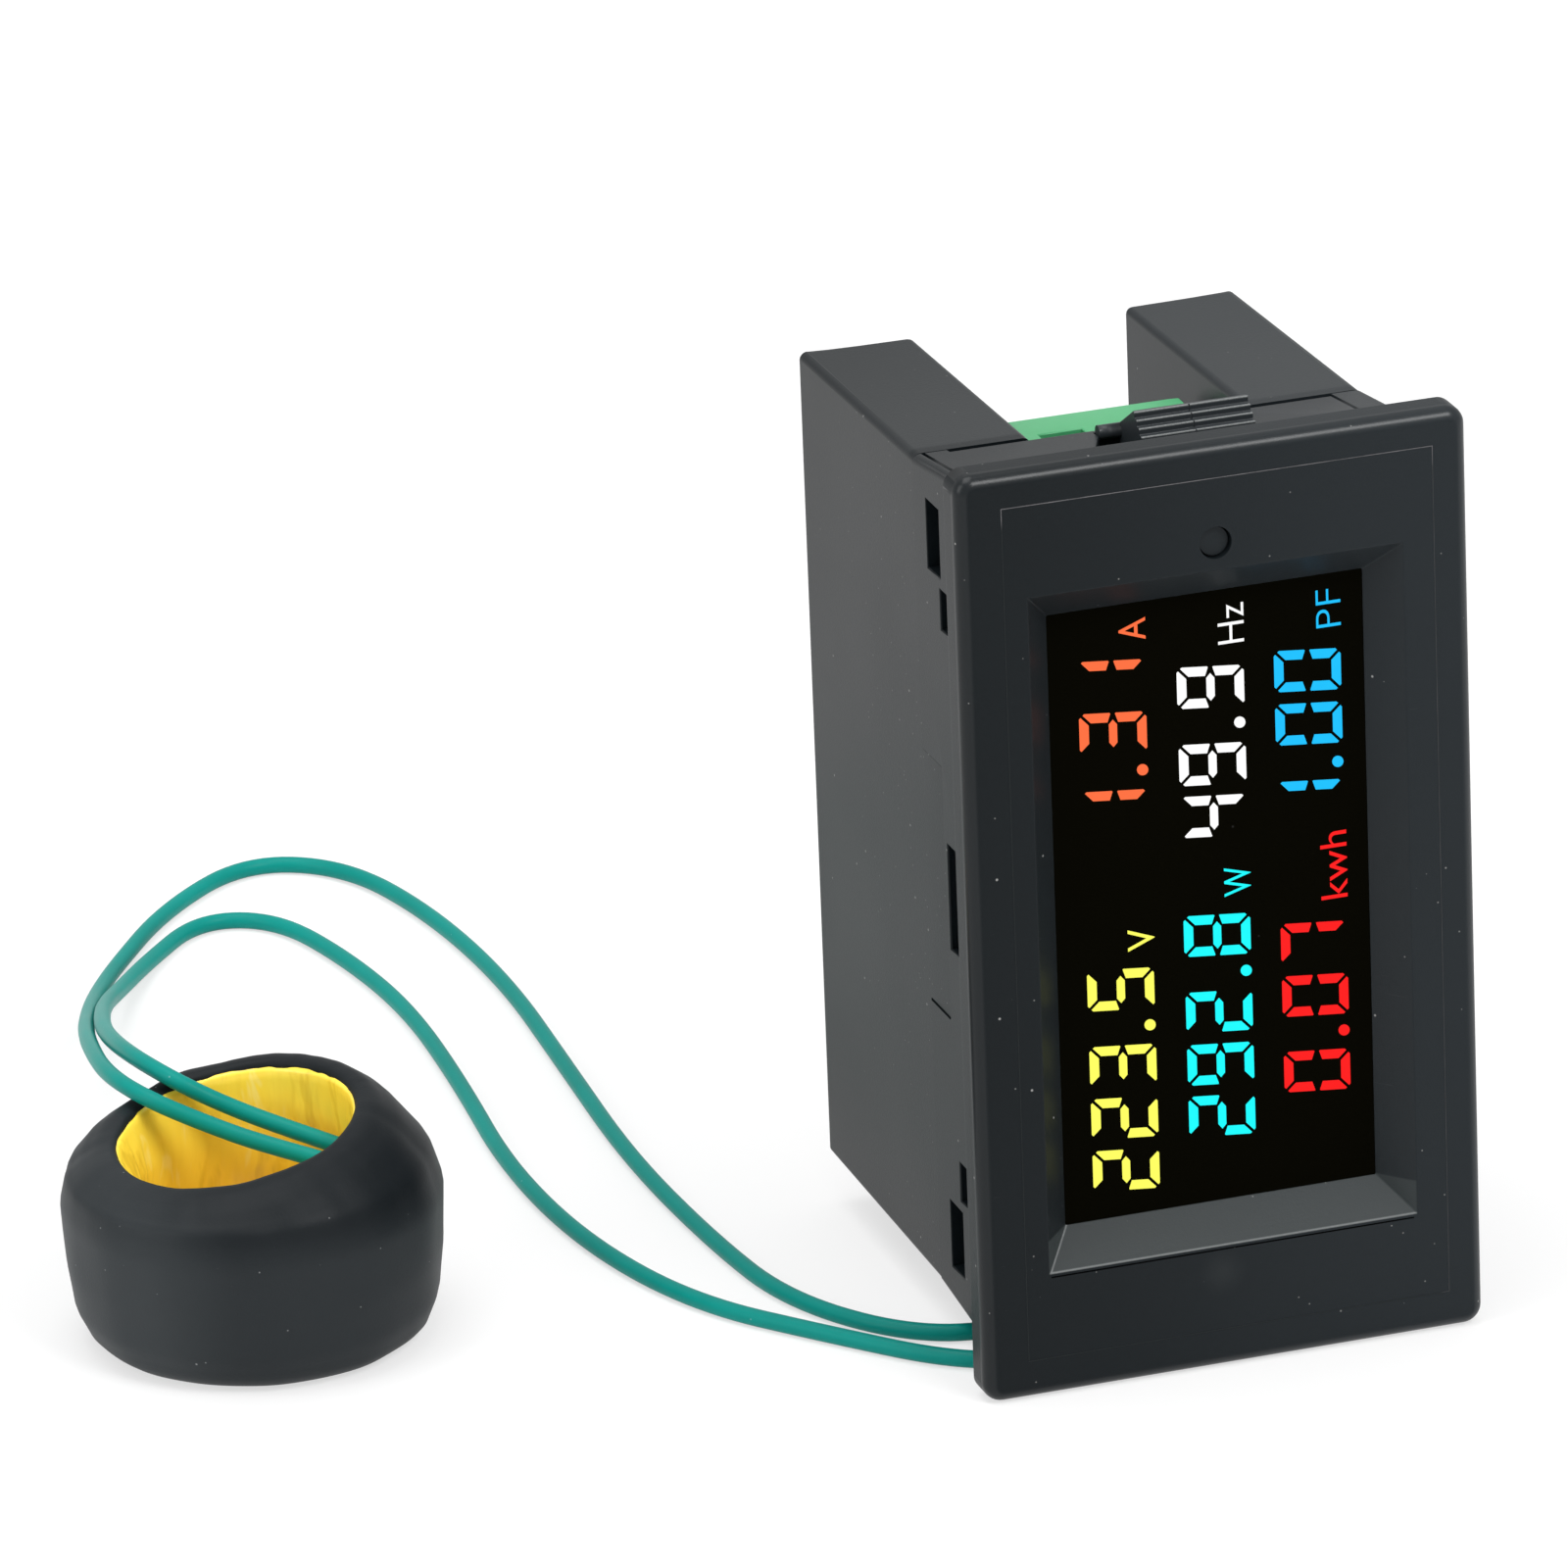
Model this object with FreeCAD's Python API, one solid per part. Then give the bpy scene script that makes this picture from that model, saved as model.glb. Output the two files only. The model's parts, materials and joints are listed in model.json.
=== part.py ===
import FreeCAD, Part
import math
import os
from FreeCAD import Vector

os.makedirs("parts", exist_ok=True)

# Digital panel power meter with a wired ring current transformer
# X runs across the short side, Y from the bezel to the rear, Z up the long side
# The meter stands on the short edge of its bezel, and the origin is below its middle
# Depths (d) are counted from the front face of the bezel

# Bezel
BEZEL_W = 43.0
BEZEL_H = 79.0
BEZEL_T = 3.2
BEZEL_CORNER_R = 1.6
BEZEL_EDGE_R = 1.2
DEPTH = 46.5
FRONT_Y = -DEPTH / 2
MID_Z = BEZEL_H / 2

# Display window in the bezel
WINDOW_W = 26.6
WINDOW_END = 13.45
WINDOW_H = BEZEL_H - 2 * WINDOW_END
WINDOW_SLOPE_SIDE = 2.55
WINDOW_SLOPE_END = 2.85
WINDOW_MOUTH_W = WINDOW_W + 2 * WINDOW_SLOPE_SIDE
WINDOW_MOUTH_H = WINDOW_H + 2 * WINDOW_SLOPE_END
WINDOW_DEPTH = 3.0

# Body behind the bezel
SKIRT_W = 38.5
FLANGE_END = 2.0
SKIRT_H = BEZEL_H - 2 * FLANGE_END
SKIRT_DRAFT = 1.7
SKIRT_REAR_H = SKIRT_H - 2 * SKIRT_DRAFT
SEAM_D = 17.4
TAB_SEAM_D = 12.6
TAB_LENGTH = 21.8
WALL = 1.6
BODY_CORNER_R = 0.7
SEAM_GAP = 0.15
END_SEAM_GAP = 0.95
REAR_STEP_SIDE = 0.1
REAR_STEP_END = 0.0
REAR_DRAFT_SIDE = 0.15
REAR_DRAFT_END = 0.4
REAR_W = SKIRT_W - 2 * REAR_STEP_SIDE
REAR_H = SKIRT_REAR_H - 2 * REAR_STEP_END
REAR_END_W = REAR_W - 2 * REAR_DRAFT_SIDE
REAR_END_H = REAR_H - 2 * REAR_DRAFT_END
REAR_WALL = 1.5
LABEL_T = 0.15
LABEL_SIDE = 0.65
LABEL_END = 0.5
REAR_FACE_D = DEPTH - LABEL_T

# Wiring bays between the horns of the rear housing
BAY_W = 18.4
BAY_DEPTH = 13.2
BAY_WALL = 1.4

# Windows in the long sides of the skirt: place along Z from the middle, length, near and far depth
BIG_WINDOW_END = 7.3
BIG_WINDOW_AT = SKIRT_H / 2 - BIG_WINDOW_END
BIG_WINDOW_L = 5.8
BIG_WINDOW_D = (11.3, 14.4)
SMALL_WINDOW_END = 12.85
SMALL_WINDOW_AT = SKIRT_H / 2 - SMALL_WINDOW_END
SMALL_WINDOW_L = 3.4
SMALL_WINDOW_D = (9.2, 11.6)
MID_WINDOW_L = 9.0
MID_WINDOW_D = (9.4, 11.9)

# Snap lip of the rear housing, inside the skirt
LIP_T = 1.1
LIP_GAP = 0.1
LIP_FRONT_D = 8.8
LIP_END = 4.5
LIP_H = SKIRT_H - 2 * LIP_END
LIP_ROOT = 2.0
LUG_GAP = 0.2
LUG_RECESS = 0.5

# Slits in the end walls of the skirt
SLIT_X = 16.3
SLIT_LEFT_X = 18.3
SLIT_W = 0.35
SLIT_DEPTH = 0.5
SLIT_FRONT_D = 7.5

# Panel clips in the end walls
CLIP_X0 = -2.45
CLIP_X1 = 7.2
CLIP_T = 1.2
CLIP_FRONT_D = 9.6
CLIP_BASE_D = 9.9
CLIP_RIDGE_D = 11.5
CLIP_RIDGE_FLAT = 0.35
CLIP_RIDGE_END = 0.65
CLIP_RIDGE_Z = BEZEL_H - CLIP_RIDGE_END
CLIP_TEETH = 4
CLIP_ROLL_D = 15.2
CLIP_ROLL_R = 0.6
CLIP_ROLL_RISE = 0.15
CLIP_ROLL_X0 = -4.3
CLIP_SPLIT_X = 2.2
CLIP_SPLIT_W = 0.12
CLIP_SPLIT_DEPTH = 0.12
POCKET_FRONT_X0 = -6.6
POCKET_GAP = 0.15
POCKET_FRONT_GAP = 0.3
POCKET_ROOT_GAP = 0.15

# Push button and its switch
BUTTON_PAST_WINDOW = 2.3
BUTTON_Z_FROM_MID = WINDOW_MOUTH_H / 2 + BUTTON_PAST_WINDOW
BUTTON_R = 1.2
BUTTON_GAP = 0.15
BUTTON_RECESS = 0.5
BUTTON_FLANGE_R = 2.2
BUTTON_FLANGE_T = 0.8
BUTTON_FLANGE_GAP = 0.05
BUTTON_STEM_R = 0.9
SWITCH_SIZE = 3.5
SWITCH_FRONT_D = 7.0
PLUNGER_R = 0.75
PLUNGER_TIP_D = 5.4
PLUNGER_END_D = 7.9
PLUNGER_GAP = 0.1
SWITCH_BORE_END_D = 8.5

# Display stack, front to back
LENS_MARGIN = 1.0
LENS_T = 1.0
LENS_GAP = 0.1
GLASS_T = 2.2
FILM_T = 0.2
DIFFUSER_T = 0.3
GUIDE_T = 2.8
HOLDER_WALL = 1.0
PIN_W = 0.4
PIN_PITCH = 2.5
PIN_HOLE_GAP = 0.02
LED_COLUMNS = 6
LED_SIZE = 1.6

# Boards
BOARD_T = 1.6
BOARD_SIDE_GAP = 0.25
BOARD_W = SKIRT_W - 2 * (WALL + LIP_GAP + LIP_T + BOARD_SIDE_GAP)
BOARD_END = 4.6
BOARD_H = SKIRT_H - 2 * BOARD_END
DISPLAY_BOARD_D = 10.2
POWER_BOARD_D = 18.6
BOARD_CORNER_R = 1.0
BOARD_GAP = 0.15
BOARD_SCREW_SIDE = 2.2
BOARD_SCREW_END = 2.4
BOARD_SCREW_X = BOARD_W / 2 - BOARD_SCREW_SIDE
BOARD_SCREW_FROM_MID = BOARD_H / 2 - BOARD_SCREW_END
POST_R = 1.9
SPACER_R = 1.8
SCREW_R = 0.95
SCREW_HOLE_GAP = 0.05
SCREW_HEAD_R = 1.9
SCREW_HEAD_T = 1.3
SCREW_BITE = 4.5
SCREW_TIP_GAP = 0.5
SCREW_SLOT_W = 0.5
SCREW_SLOT_L = 2.3
LINK_PINS = 6
LINK_PITCH = 2.54
LINK_SIDE = 7.2
LINK_X = LINK_SIDE - BOARD_W / 2
LINK_PIN_W = 0.64
LINK_PIN_STAND = 1.0

# Display glass and light guide over the display board
GLASS_SIDE = 1.0
GLASS_MARGIN = 1.75
GLASS_W = BOARD_W - 2 * GLASS_SIDE
GLASS_H = WINDOW_H + 2 * GLASS_MARGIN
GUIDE_SIDE = 1.5
GUIDE_END = 1.3
GUIDE_W = GLASS_W - 2 * GUIDE_SIDE
GUIDE_H = GLASS_H - 2 * GUIDE_END
PIN_END = 2.75
PINS_PER_SIDE = int((GLASS_H - 2 * PIN_END) / PIN_PITCH)

# Chips and small parts on the boards: x and z from the middle, width, height, thickness
# and reach of the legs
CONTROLLER = (2.0, 6.0, 7.5, 12.0, 1.8, 0.8)
METERING = (2.5, -14.0, 5.5, 9.0, 1.6, 0.8)
REGULATOR = (12.0, 3.5, 3.6, 4.2, 1.6, 0.8)
CRYSTAL_X = 10.5
CRYSTAL_DZ = 8.0
CRYSTAL_R = 1.8
CRYSTAL_T = 3.0
DISPLAY_PARTS = ((9.5, 0.0), (9.5, -4.0), (9.5, -16.0), (-4.5, -18.0), (-3.5, 16.0), (1.5, 17.5),
                 (7.0, 17.5))
CHIP_PITCH = 1.27
CHIP_LEG_W = 0.4
CHIP_LEG_T = 0.3
SMALL_PART_L = 2.0
SMALL_PART_W = 1.2
SMALL_PART_T = 0.7

# Mains transformer on the power board, depths counted from the board
CORE_X = 6.0
CORE_DZ = -6.0
CORE_W = 16.0
CORE_D0 = 3.0
CORE_D1 = 14.0
CORE_STACK = 7.0
CORE_LEG_W = 4.0
CORE_WINDOW_W = 3.5
CORE_YOKE = 2.0
COIL_OVERHANG = 3.0
BOBBIN_H = 14.0
BOBBIN_GAP = 0.1

# Other parts on the power board: sizes, and places counted from a side or from the wall of a wiring bay
STORAGE_R = 4.0
STORAGE_L = 12.0
STORAGE_PLACES = ((-9.5, 4.8), (9.0, 7.1))
FILTER_SIDE = 1.7
FILTER_W = 4.0
FILTER_L = 13.0
FILTER_T = 11.0
FILTER_END = 1.6
VARISTOR_X = (-1.5, 2.0)
VARISTOR_L = 8.0
VARISTOR_T = 8.5
VARISTOR_END = 3.6
FUSE_R = 2.6
FUSE_L = 6.5
FUSE_X = -4.5
FUSE_END = 13.6
RECTIFIER_END = 6.6
RECTIFIER_SIZE = (4.0, 4.6, 2.0)
RECTIFIER_LEG = 0.7
RECTIFIER_OFFSET = 0.25
BURDEN_X = (-7.0, -2.0, 3.0)
BURDEN_END = 1.6

# Terminal blocks, written for the top one
POLE_X = 3.81
TERMINAL_W = 15.6
TERMINAL_H = 11.6
TERMINAL_END = 6.6
TERMINAL_L = 7.2
TERMINAL_OUTER_Z = BEZEL_H - TERMINAL_END
TERMINAL_INNER_Z = TERMINAL_OUTER_Z - TERMINAL_L
TERMINAL_SLOPE_FROM = 9.3
TERMINAL_SLOPE = 0.8
TERMINAL_REAR_OUTER_Z = TERMINAL_OUTER_Z - TERMINAL_SLOPE
TERMINAL_REAR_STEP = 1.0
TERMINAL_REAR_INNER_Z = TERMINAL_INNER_Z + TERMINAL_REAR_STEP
CAGE_W = 4.6
CAGE_BAR = 1.0
CAGE_SIDE = 0.7
CAGE_OPENING = 3.6
CAGE_L = 3.8
CAGE_GAP = 0.25
CAGE_TRAVEL = 1.6
CLAMP_SCREW_END = 9.8
CLAMP_SCREW_Z = BEZEL_H - CLAMP_SCREW_END
CLAMP_SCREW_R = 1.4
CLAMP_THREAD_GAP = 0.06
CLAMP_HEAD_R = 1.95
CLAMP_HEAD_T = 1.2
CLAMP_HEAD_SINK = 0.4
CLAMP_SEAT_GAP = 0.05
CLAMP_BORE_R = 2.1
CLAMP_NECK_R = 1.7
CLAMP_TIP_GAP = 0.15
CLAMP_SLOT_W = 0.5
CLAMP_SLOT_DEPTH = 0.6
CONTACT_T = 0.8
CONTACT_W = 2.9
CONTACT_D = POWER_BOARD_D + BOARD_T + 5.2
CONTACT_LEG_W = 1.8
CONTACT_LEG_T = 0.7
CONTACT_TAIL = 0.6
CONTACT_REACH = 0.15
CONTACT_GAP = 0.05
TERMINAL_REAR_SLOPE = 3.3
ROOM_END_GAP = 0.3
ENTRY_PAST_BAR = 0.4
ENTRY_W = 3.8
ENTRY_H = 3.9
CLAMP_TOUCH = 0.02

# Leads
LEAD_R = 0.725
ARC_SHARE = 0.45
CONDUCTOR_R = 0.44
STRIP_L = 4.4
LEAD_START_Z = 7.1

# Ring current transformer, lying on the surface beside the meter
CT_X = -70.85
CT_D = 39.7
CT_BORE_R = 9.4
CT_TAPE_T = 0.5
CT_CORE_T = 2.0
CT_CORE_H = 8.2
CT_WINDING_T = 1.3
CT_WINDING_OUTER_T = 0.6
CT_WINDING_Z = 1.9
CT_TAPE_OUTER_R = 14.5
CT_TAPE_UNDER = 0.3
CT_TAPE_FOOT_R = 13.9
CT_TAPE_FOOT_H = 1.2
CT_TAPE_SHOULDER_Z = 12.9
CT_TAPE_TOP_Z = 17.4
CT_TAPE_TOP_R = 10.5
CT_LIP_R = 9.75
CT_TILT_X = 0.17
CT_TILT_D = 0.07
CT_LIP_SHIFT = -1.2
# Outer sections of the sleeve: height, radius and share of its lip's tilt and sideways shift
CT_SLEEVE = ((0.0, 12.9, 0.0), (1.2, 13.9, 0.0), (3.2, 15.1, 0.0), (7.0, 15.45, 0.0),
             (12.2, 15.5, 0.0), (14.8, 14.7, 0.2), (17.0, 12.8, 0.75), (18.2, 10.9, 1.0))

# Routes of the two leads, from the transformer to the terminal: x, depth, height
LEAD_OUTER = (
    (-62.1, 35.6, 13.7), (-69.1, 40.9, 15.2), (-73.6, 44.5, 16.7), (-77.8, 46.5, 18.8),
    (-79.2, 53.2, 18.7), (-76.9, 66.9, 15.6), (-73.4, 81.8, 11.0), (-69.2, 97.1, 6.2),
    (-64.9, 110.6, 2.4), (-60.6, 120.3, 0.73), (-52.9, 131.8, 0.73), (-43.0, 140.4, 0.73),
    (-34.8, 135.6, 0.73), (-31.2, 121.5, 0.73), (-29.9, 103.0, 0.73), (-31.1, 82.0, 0.73),
    (-32.4, 60.0, 0.73), (-31.6, 40.0, 0.73), (-29.8, 25.6, 0.73), (-22.9, 14.7, 0.73),
    (-14.4, 12.6, 0.73), (-8.6, 16.2, 0.73), (-5.0, 21.2, 0.73), (-POLE_X, 24.95, 3.2),
    (-POLE_X, 24.95, LEAD_START_Z))
LEAD_INNER = (
    (-61.3, 38.7, 13.9), (-67.0, 44.0, 15.4), (-71.4, 47.2, 17.1), (-75.2, 48.3, 19.5),
    (-76.8, 55.3, 19.4), (-75.1, 68.4, 15.9), (-71.6, 83.3, 11.2), (-67.3, 98.7, 6.2),
    (-62.9, 110.6, 2.4), (-57.6, 120.4, 0.73), (-50.8, 128.2, 0.73), (-44.2, 125.6, 0.73),
    (-41.2, 114.0, 0.73), (-39.7, 100.0, 0.73), (-40.6, 82.0, 0.73), (-42.5, 62.0, 0.73),
    (-41.4, 43.5, 0.73), (-37.0, 28.0, 0.73), (-29.0, 17.6, 0.73), (-21.4, 8.4, 0.73),
    (-14.2, 5.8, 0.73), (-7.9, 9.3, 0.73), (-5.0, 15.2, 0.73), (-0.6, 19.8, 0.73),
    (2.8, 22.4, 0.73), (POLE_X, 24.95, 3.2), (POLE_X, 24.95, LEAD_START_Z))


# Cutters run past the faces they open, and pieces fused to a wall start inside it
PAST = 1.0
ROOT = 0.5


# Shapes on depths

def box(x0, x1, d0, d1, z0, z1):
    return Part.makeBox(x1 - x0, d1 - d0, z1 - z0, Vector(x0, FRONT_Y + d0, z0))


def rod(x, z, r, d0, d1):
    return Part.makeCylinder(r, d1 - d0, Vector(x, FRONT_Y + d0, z), Vector(0, 1, 0))


def upright(x, d, r, z0, z1):
    return Part.makeCylinder(r, z1 - z0, Vector(x, FRONT_Y + d, z0))


def prism_x(profile, x0, x1):
    points = [Vector(x0, FRONT_Y + d, z) for d, z in profile]
    face = Part.Face(Part.makePolygon(points + points[:1]))
    return face.extrude(Vector(x1 - x0, 0, 0))


def prism_z(profile, z0, z1):
    points = [Vector(x, FRONT_Y + d, z0) for x, d in profile]
    face = Part.Face(Part.makePolygon(points + points[:1]))
    return face.extrude(Vector(0, 0, z1 - z0))


def prism_d(profile, d0, d1):
    points = [Vector(x, FRONT_Y + d0, z) for x, z in profile]
    face = Part.Face(Part.makePolygon(points + points[:1]))
    return face.extrude(Vector(0, d1 - d0, 0))


def outline(width, height, radius, d):
    y = FRONT_Y + d
    a = width / 2
    b = height / 2
    k = radius * (1 - math.sqrt(0.5))
    edges = []
    for sx, sz in ((1, 1), (-1, 1), (-1, -1), (1, -1)):
        near = Vector(sx * a, y, MID_Z + sz * (b - radius))
        bend = Vector(sx * (a - k), y, MID_Z + sz * (b - k))
        far = Vector(sx * (a - radius), y, MID_Z + sz * b)
        if sx * sz < 0:
            near, far = far, near
        edges.append(Part.Arc(near, bend, far).toShape())
    sides = []
    for index, edge in enumerate(edges):
        following = edges[(index + 1) % 4]
        start = edge.lastVertex().Point
        end = following.firstVertex().Point
        sides.append(edge)
        sides.append(Part.LineSegment(start, end).toShape())
    return Part.Wire(sides)


def tapered(d0, size0, d1, size1, radius):
    wires = [outline(size0[0], size0[1], radius, d0), outline(size1[0], size1[1], radius, d1)]
    return Part.makeLoft(wires, True, True)


def frustum(d0, size0, d1, size1):
    wires = []
    for d, (width, height) in ((d0, size0), (d1, size1)):
        y = FRONT_Y + d
        corners = [Vector(sx * width / 2, y, MID_Z + sz * height / 2)
                   for sx, sz in ((1, 1), (-1, 1), (-1, -1), (1, -1))]
        wires.append(Part.makePolygon(corners + corners[:1]))
    return Part.makeLoft(wires, True, True)


def centred(width, height, d0, d1):
    return box(-width / 2, width / 2, d0, d1, MID_Z - height / 2, MID_Z + height / 2)


def flipped(shape):
    return shape.mirror(Vector(0, 0, MID_Z), Vector(0, 0, 1))


def fused(shapes):
    result = shapes[0].fuse(list(shapes[1:])) if len(shapes) > 1 else shapes[0]
    return result.removeSplitter()


def save(name, shapes):
    group = shapes if isinstance(shapes, list) else [shapes]
    solids = [solid for shape in group for solid in shape.Solids]
    for solid in solids:
        if not solid.isValid():
            print("not valid:", name)
    Part.makeCompound(solids).exportStep("parts/" + name + ".step")
    print("%-24s solids %2d volume %9.2f" % (name, len(solids), sum(s.Volume for s in solids)))


# Values that several pieces share

SKIRT_SLOPE = (SKIRT_H - SKIRT_REAR_H) / 2 / (SEAM_D - BEZEL_T)
SKIRT_INNER_X = SKIRT_W / 2 - WALL
BUTTON_Z = MID_Z + BUTTON_Z_FROM_MID
LENS_W = WINDOW_W + 2 * LENS_MARGIN
LENS_H = WINDOW_H + 2 * LENS_MARGIN
GLASS_D = WINDOW_DEPTH + LENS_T
FILM_D = GLASS_D + GLASS_T
DIFFUSER_D = FILM_D + FILM_T
GUIDE_D = DIFFUSER_D + DIFFUSER_T
DISPLAY_REAR_D = DISPLAY_BOARD_D + BOARD_T
BOARD_REAR_D = POWER_BOARD_D + BOARD_T
TERMINAL_REAR_D = BOARD_REAR_D + TERMINAL_H
CLAMP_HEAD_D = TERMINAL_REAR_D - CLAMP_HEAD_SINK - CLAMP_HEAD_T
POCKET_D1 = CLIP_ROLL_D + CLIP_ROLL_R + POCKET_ROOT_GAP
LABEL_W = REAR_END_W - 2 * LABEL_SIDE
LABEL_H = REAR_END_H - 2 * (BAY_DEPTH + LABEL_END)
ROOM_END = REAR_END_H / 2 - BAY_DEPTH - BAY_WALL
FILTER_X0 = FILTER_SIDE - BOARD_W / 2
RECTIFIER_X = (FILTER_X0 + FILTER_W + CORE_X - CORE_W / 2) / 2 - RECTIFIER_OFFSET
BOARD_SCREWS = [(sx * BOARD_SCREW_X, MID_Z + sz * BOARD_SCREW_FROM_MID)
                for sx in (-1, 1) for sz in (-1, 1)]
SIDE_WINDOWS = [(BIG_WINDOW_AT, BIG_WINDOW_L, BIG_WINDOW_D), (-BIG_WINDOW_AT, BIG_WINDOW_L, BIG_WINDOW_D),
                (SMALL_WINDOW_AT, SMALL_WINDOW_L, SMALL_WINDOW_D),
                (-SMALL_WINDOW_AT, SMALL_WINDOW_L, SMALL_WINDOW_D), (0.0, MID_WINDOW_L, MID_WINDOW_D)]


def end_wall_z(d):
    return MID_Z + SKIRT_H / 2 - (d - BEZEL_T) * SKIRT_SLOPE


# Housing

def front_frame():
    plate = outline(BEZEL_W, BEZEL_H, BEZEL_CORNER_R, 0)
    plate = Part.Face(plate).extrude(Vector(0, BEZEL_T, 0))
    rim = [edge for edge in plate.Edges if abs(edge.BoundBox.YMax - FRONT_Y) < 1e-6]
    plate = plate.makeFillet(BEZEL_EDGE_R, rim)
    grow = ROOT * SKIRT_SLOPE * 2
    skirt = tapered(BEZEL_T - ROOT, (SKIRT_W, SKIRT_H + grow), SEAM_D, (SKIRT_W, SKIRT_REAR_H),
                    BODY_CORNER_R)
    shrink = PAST * SKIRT_SLOPE * 2
    hollow = tapered(BEZEL_T, (SKIRT_W - 2 * WALL, SKIRT_H - 2 * WALL), SEAM_D + PAST,
                     (SKIRT_W - 2 * WALL, SKIRT_REAR_H - 2 * WALL - shrink), BODY_CORNER_R / 2)
    posts = [rod(x, z, POST_R, BEZEL_T - ROOT, DISPLAY_BOARD_D) for x, z in BOARD_SCREWS]
    frame = plate.fuse(skirt).cut(hollow).fuse(posts)
    widen = PAST / WINDOW_DEPTH
    mouth = (WINDOW_MOUTH_W + (WINDOW_MOUTH_W - WINDOW_W) * widen,
             WINDOW_MOUTH_H + (WINDOW_MOUTH_H - WINDOW_H) * widen)
    cuts = [frustum(-PAST, mouth, WINDOW_DEPTH, (WINDOW_W, WINDOW_H)),
            centred(LENS_W + 2 * LENS_GAP, LENS_H + 2 * LENS_GAP, WINDOW_DEPTH, BEZEL_T + PAST),
            rod(0, BUTTON_Z, BUTTON_R + BUTTON_GAP, -PAST, BEZEL_T + PAST)]
    for x, z in BOARD_SCREWS:
        cuts.append(rod(x, z, SCREW_R + SCREW_HOLE_GAP, DISPLAY_BOARD_D - SCREW_BITE - SCREW_TIP_GAP,
                        DISPLAY_BOARD_D + PAST))
    for side in (-1, 1):
        x0, x1 = sorted((side * (SKIRT_INNER_X - PAST), side * (SKIRT_W / 2 + PAST)))
        for at, length, (near, far) in SIDE_WINDOWS:
            cuts.append(box(x0, x1, near, far, MID_Z + at - length / 2, MID_Z + at + length / 2))
        cuts.append(box(x0, x1, TAB_SEAM_D, SEAM_D + PAST, MID_Z - TAB_LENGTH / 2,
                        MID_Z + TAB_LENGTH / 2))
    near_d = CLIP_FRONT_D - POCKET_FRONT_GAP
    pocket = prism_z(((POCKET_FRONT_X0, near_d), (CLIP_X1 + POCKET_GAP, near_d),
                      (CLIP_X1 + POCKET_GAP, POCKET_D1), (CLIP_ROLL_X0 - POCKET_GAP, POCKET_D1),
                      (CLIP_ROLL_X0 - POCKET_GAP, CLIP_ROLL_D - CLIP_ROLL_R - POCKET_GAP)),
                     end_wall_z(POCKET_D1) - WALL - PAST, BEZEL_H)
    cuts += [pocket, flipped(pocket)]
    for x in (-SLIT_LEFT_X, SLIT_X):
        slit = prism_x(((SLIT_FRONT_D, end_wall_z(SLIT_FRONT_D) - SLIT_DEPTH),
                        (SEAM_D + PAST, end_wall_z(SEAM_D + PAST) - SLIT_DEPTH),
                        (SEAM_D + PAST, BEZEL_H), (SLIT_FRONT_D, BEZEL_H)), x - SLIT_W / 2, x + SLIT_W / 2)
        cuts += [slit, flipped(slit)]
    open_seam = box(-SLIT_X, SLIT_X, SEAM_D + SEAM_GAP - END_SEAM_GAP, SEAM_D + PAST,
                    end_wall_z(SEAM_D) - WALL - PAST, BEZEL_H)
    cuts += [open_seam, flipped(open_seam)]
    return frame.cut(cuts).removeSplitter()


def rear_housing():
    front = SEAM_D + SEAM_GAP
    outer = tapered(front, (REAR_W, REAR_H), REAR_FACE_D, (REAR_END_W, REAR_END_H), BODY_CORNER_R)
    inner_rear = REAR_FACE_D - REAR_WALL
    inner = tapered(front - PAST, (REAR_W - 2 * WALL, REAR_H - 2 * WALL), inner_rear,
                    (REAR_END_W - 2 * WALL, REAR_END_H - 2 * WALL), BODY_CORNER_R / 2)
    bay_z = MID_Z + REAR_END_H / 2 - BAY_DEPTH
    bay = box(-BAY_W / 2, BAY_W / 2, front - PAST, REAR_FACE_D + PAST, bay_z, BEZEL_H)
    wall_x = BAY_W / 2 + BAY_WALL
    walls = box(-wall_x, wall_x, front - PAST, REAR_FACE_D, bay_z - BAY_WALL, BEZEL_H)
    inner = inner.cut([walls, flipped(walls)])
    board_room = centred(BOARD_W + 2 * BOARD_GAP, BOARD_H + 2 * BOARD_GAP, front - PAST,
                         BOARD_REAR_D + BOARD_GAP)
    shell = outer.cut([inner, bay, flipped(bay), board_room])
    lip_x = SKIRT_INNER_X - LIP_GAP
    added = []
    for side in (-1, 1):
        x0, x1 = sorted((side * (lip_x - LIP_T), side * lip_x))
        added.append(box(x0, x1, LIP_FRONT_D, front + LIP_ROOT, MID_Z - LIP_H / 2, MID_Z + LIP_H / 2))
        x0, x1 = sorted((side * (lip_x - LIP_T / 2), side * (REAR_W / 2)))
        added.append(box(x0, x1, TAB_SEAM_D + SEAM_GAP, front, MID_Z - TAB_LENGTH / 2 + SEAM_GAP,
                         MID_Z + TAB_LENGTH / 2 - SEAM_GAP))
        for at, length, (near, far) in SIDE_WINDOWS:
            if length == BIG_WINDOW_L:
                continue
            tip = side * (SKIRT_W / 2 - LUG_RECESS)
            foot = side * (lip_x - LIP_T / 2)
            near_d = near + LUG_GAP
            far_d = far - LUG_GAP
            profile = ((foot, near_d), (side * lip_x, near_d), (tip, far_d - LUG_GAP - LUG_RECESS),
                       (tip, far_d), (foot, far_d))
            reach = length / 2 - LUG_GAP
            added.append(prism_z(profile, MID_Z + at - reach, MID_Z + at + reach))
    return shell.fuse(added).removeSplitter()


def rear_label():
    return centred(LABEL_W, LABEL_H, REAR_FACE_D, DEPTH)


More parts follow.
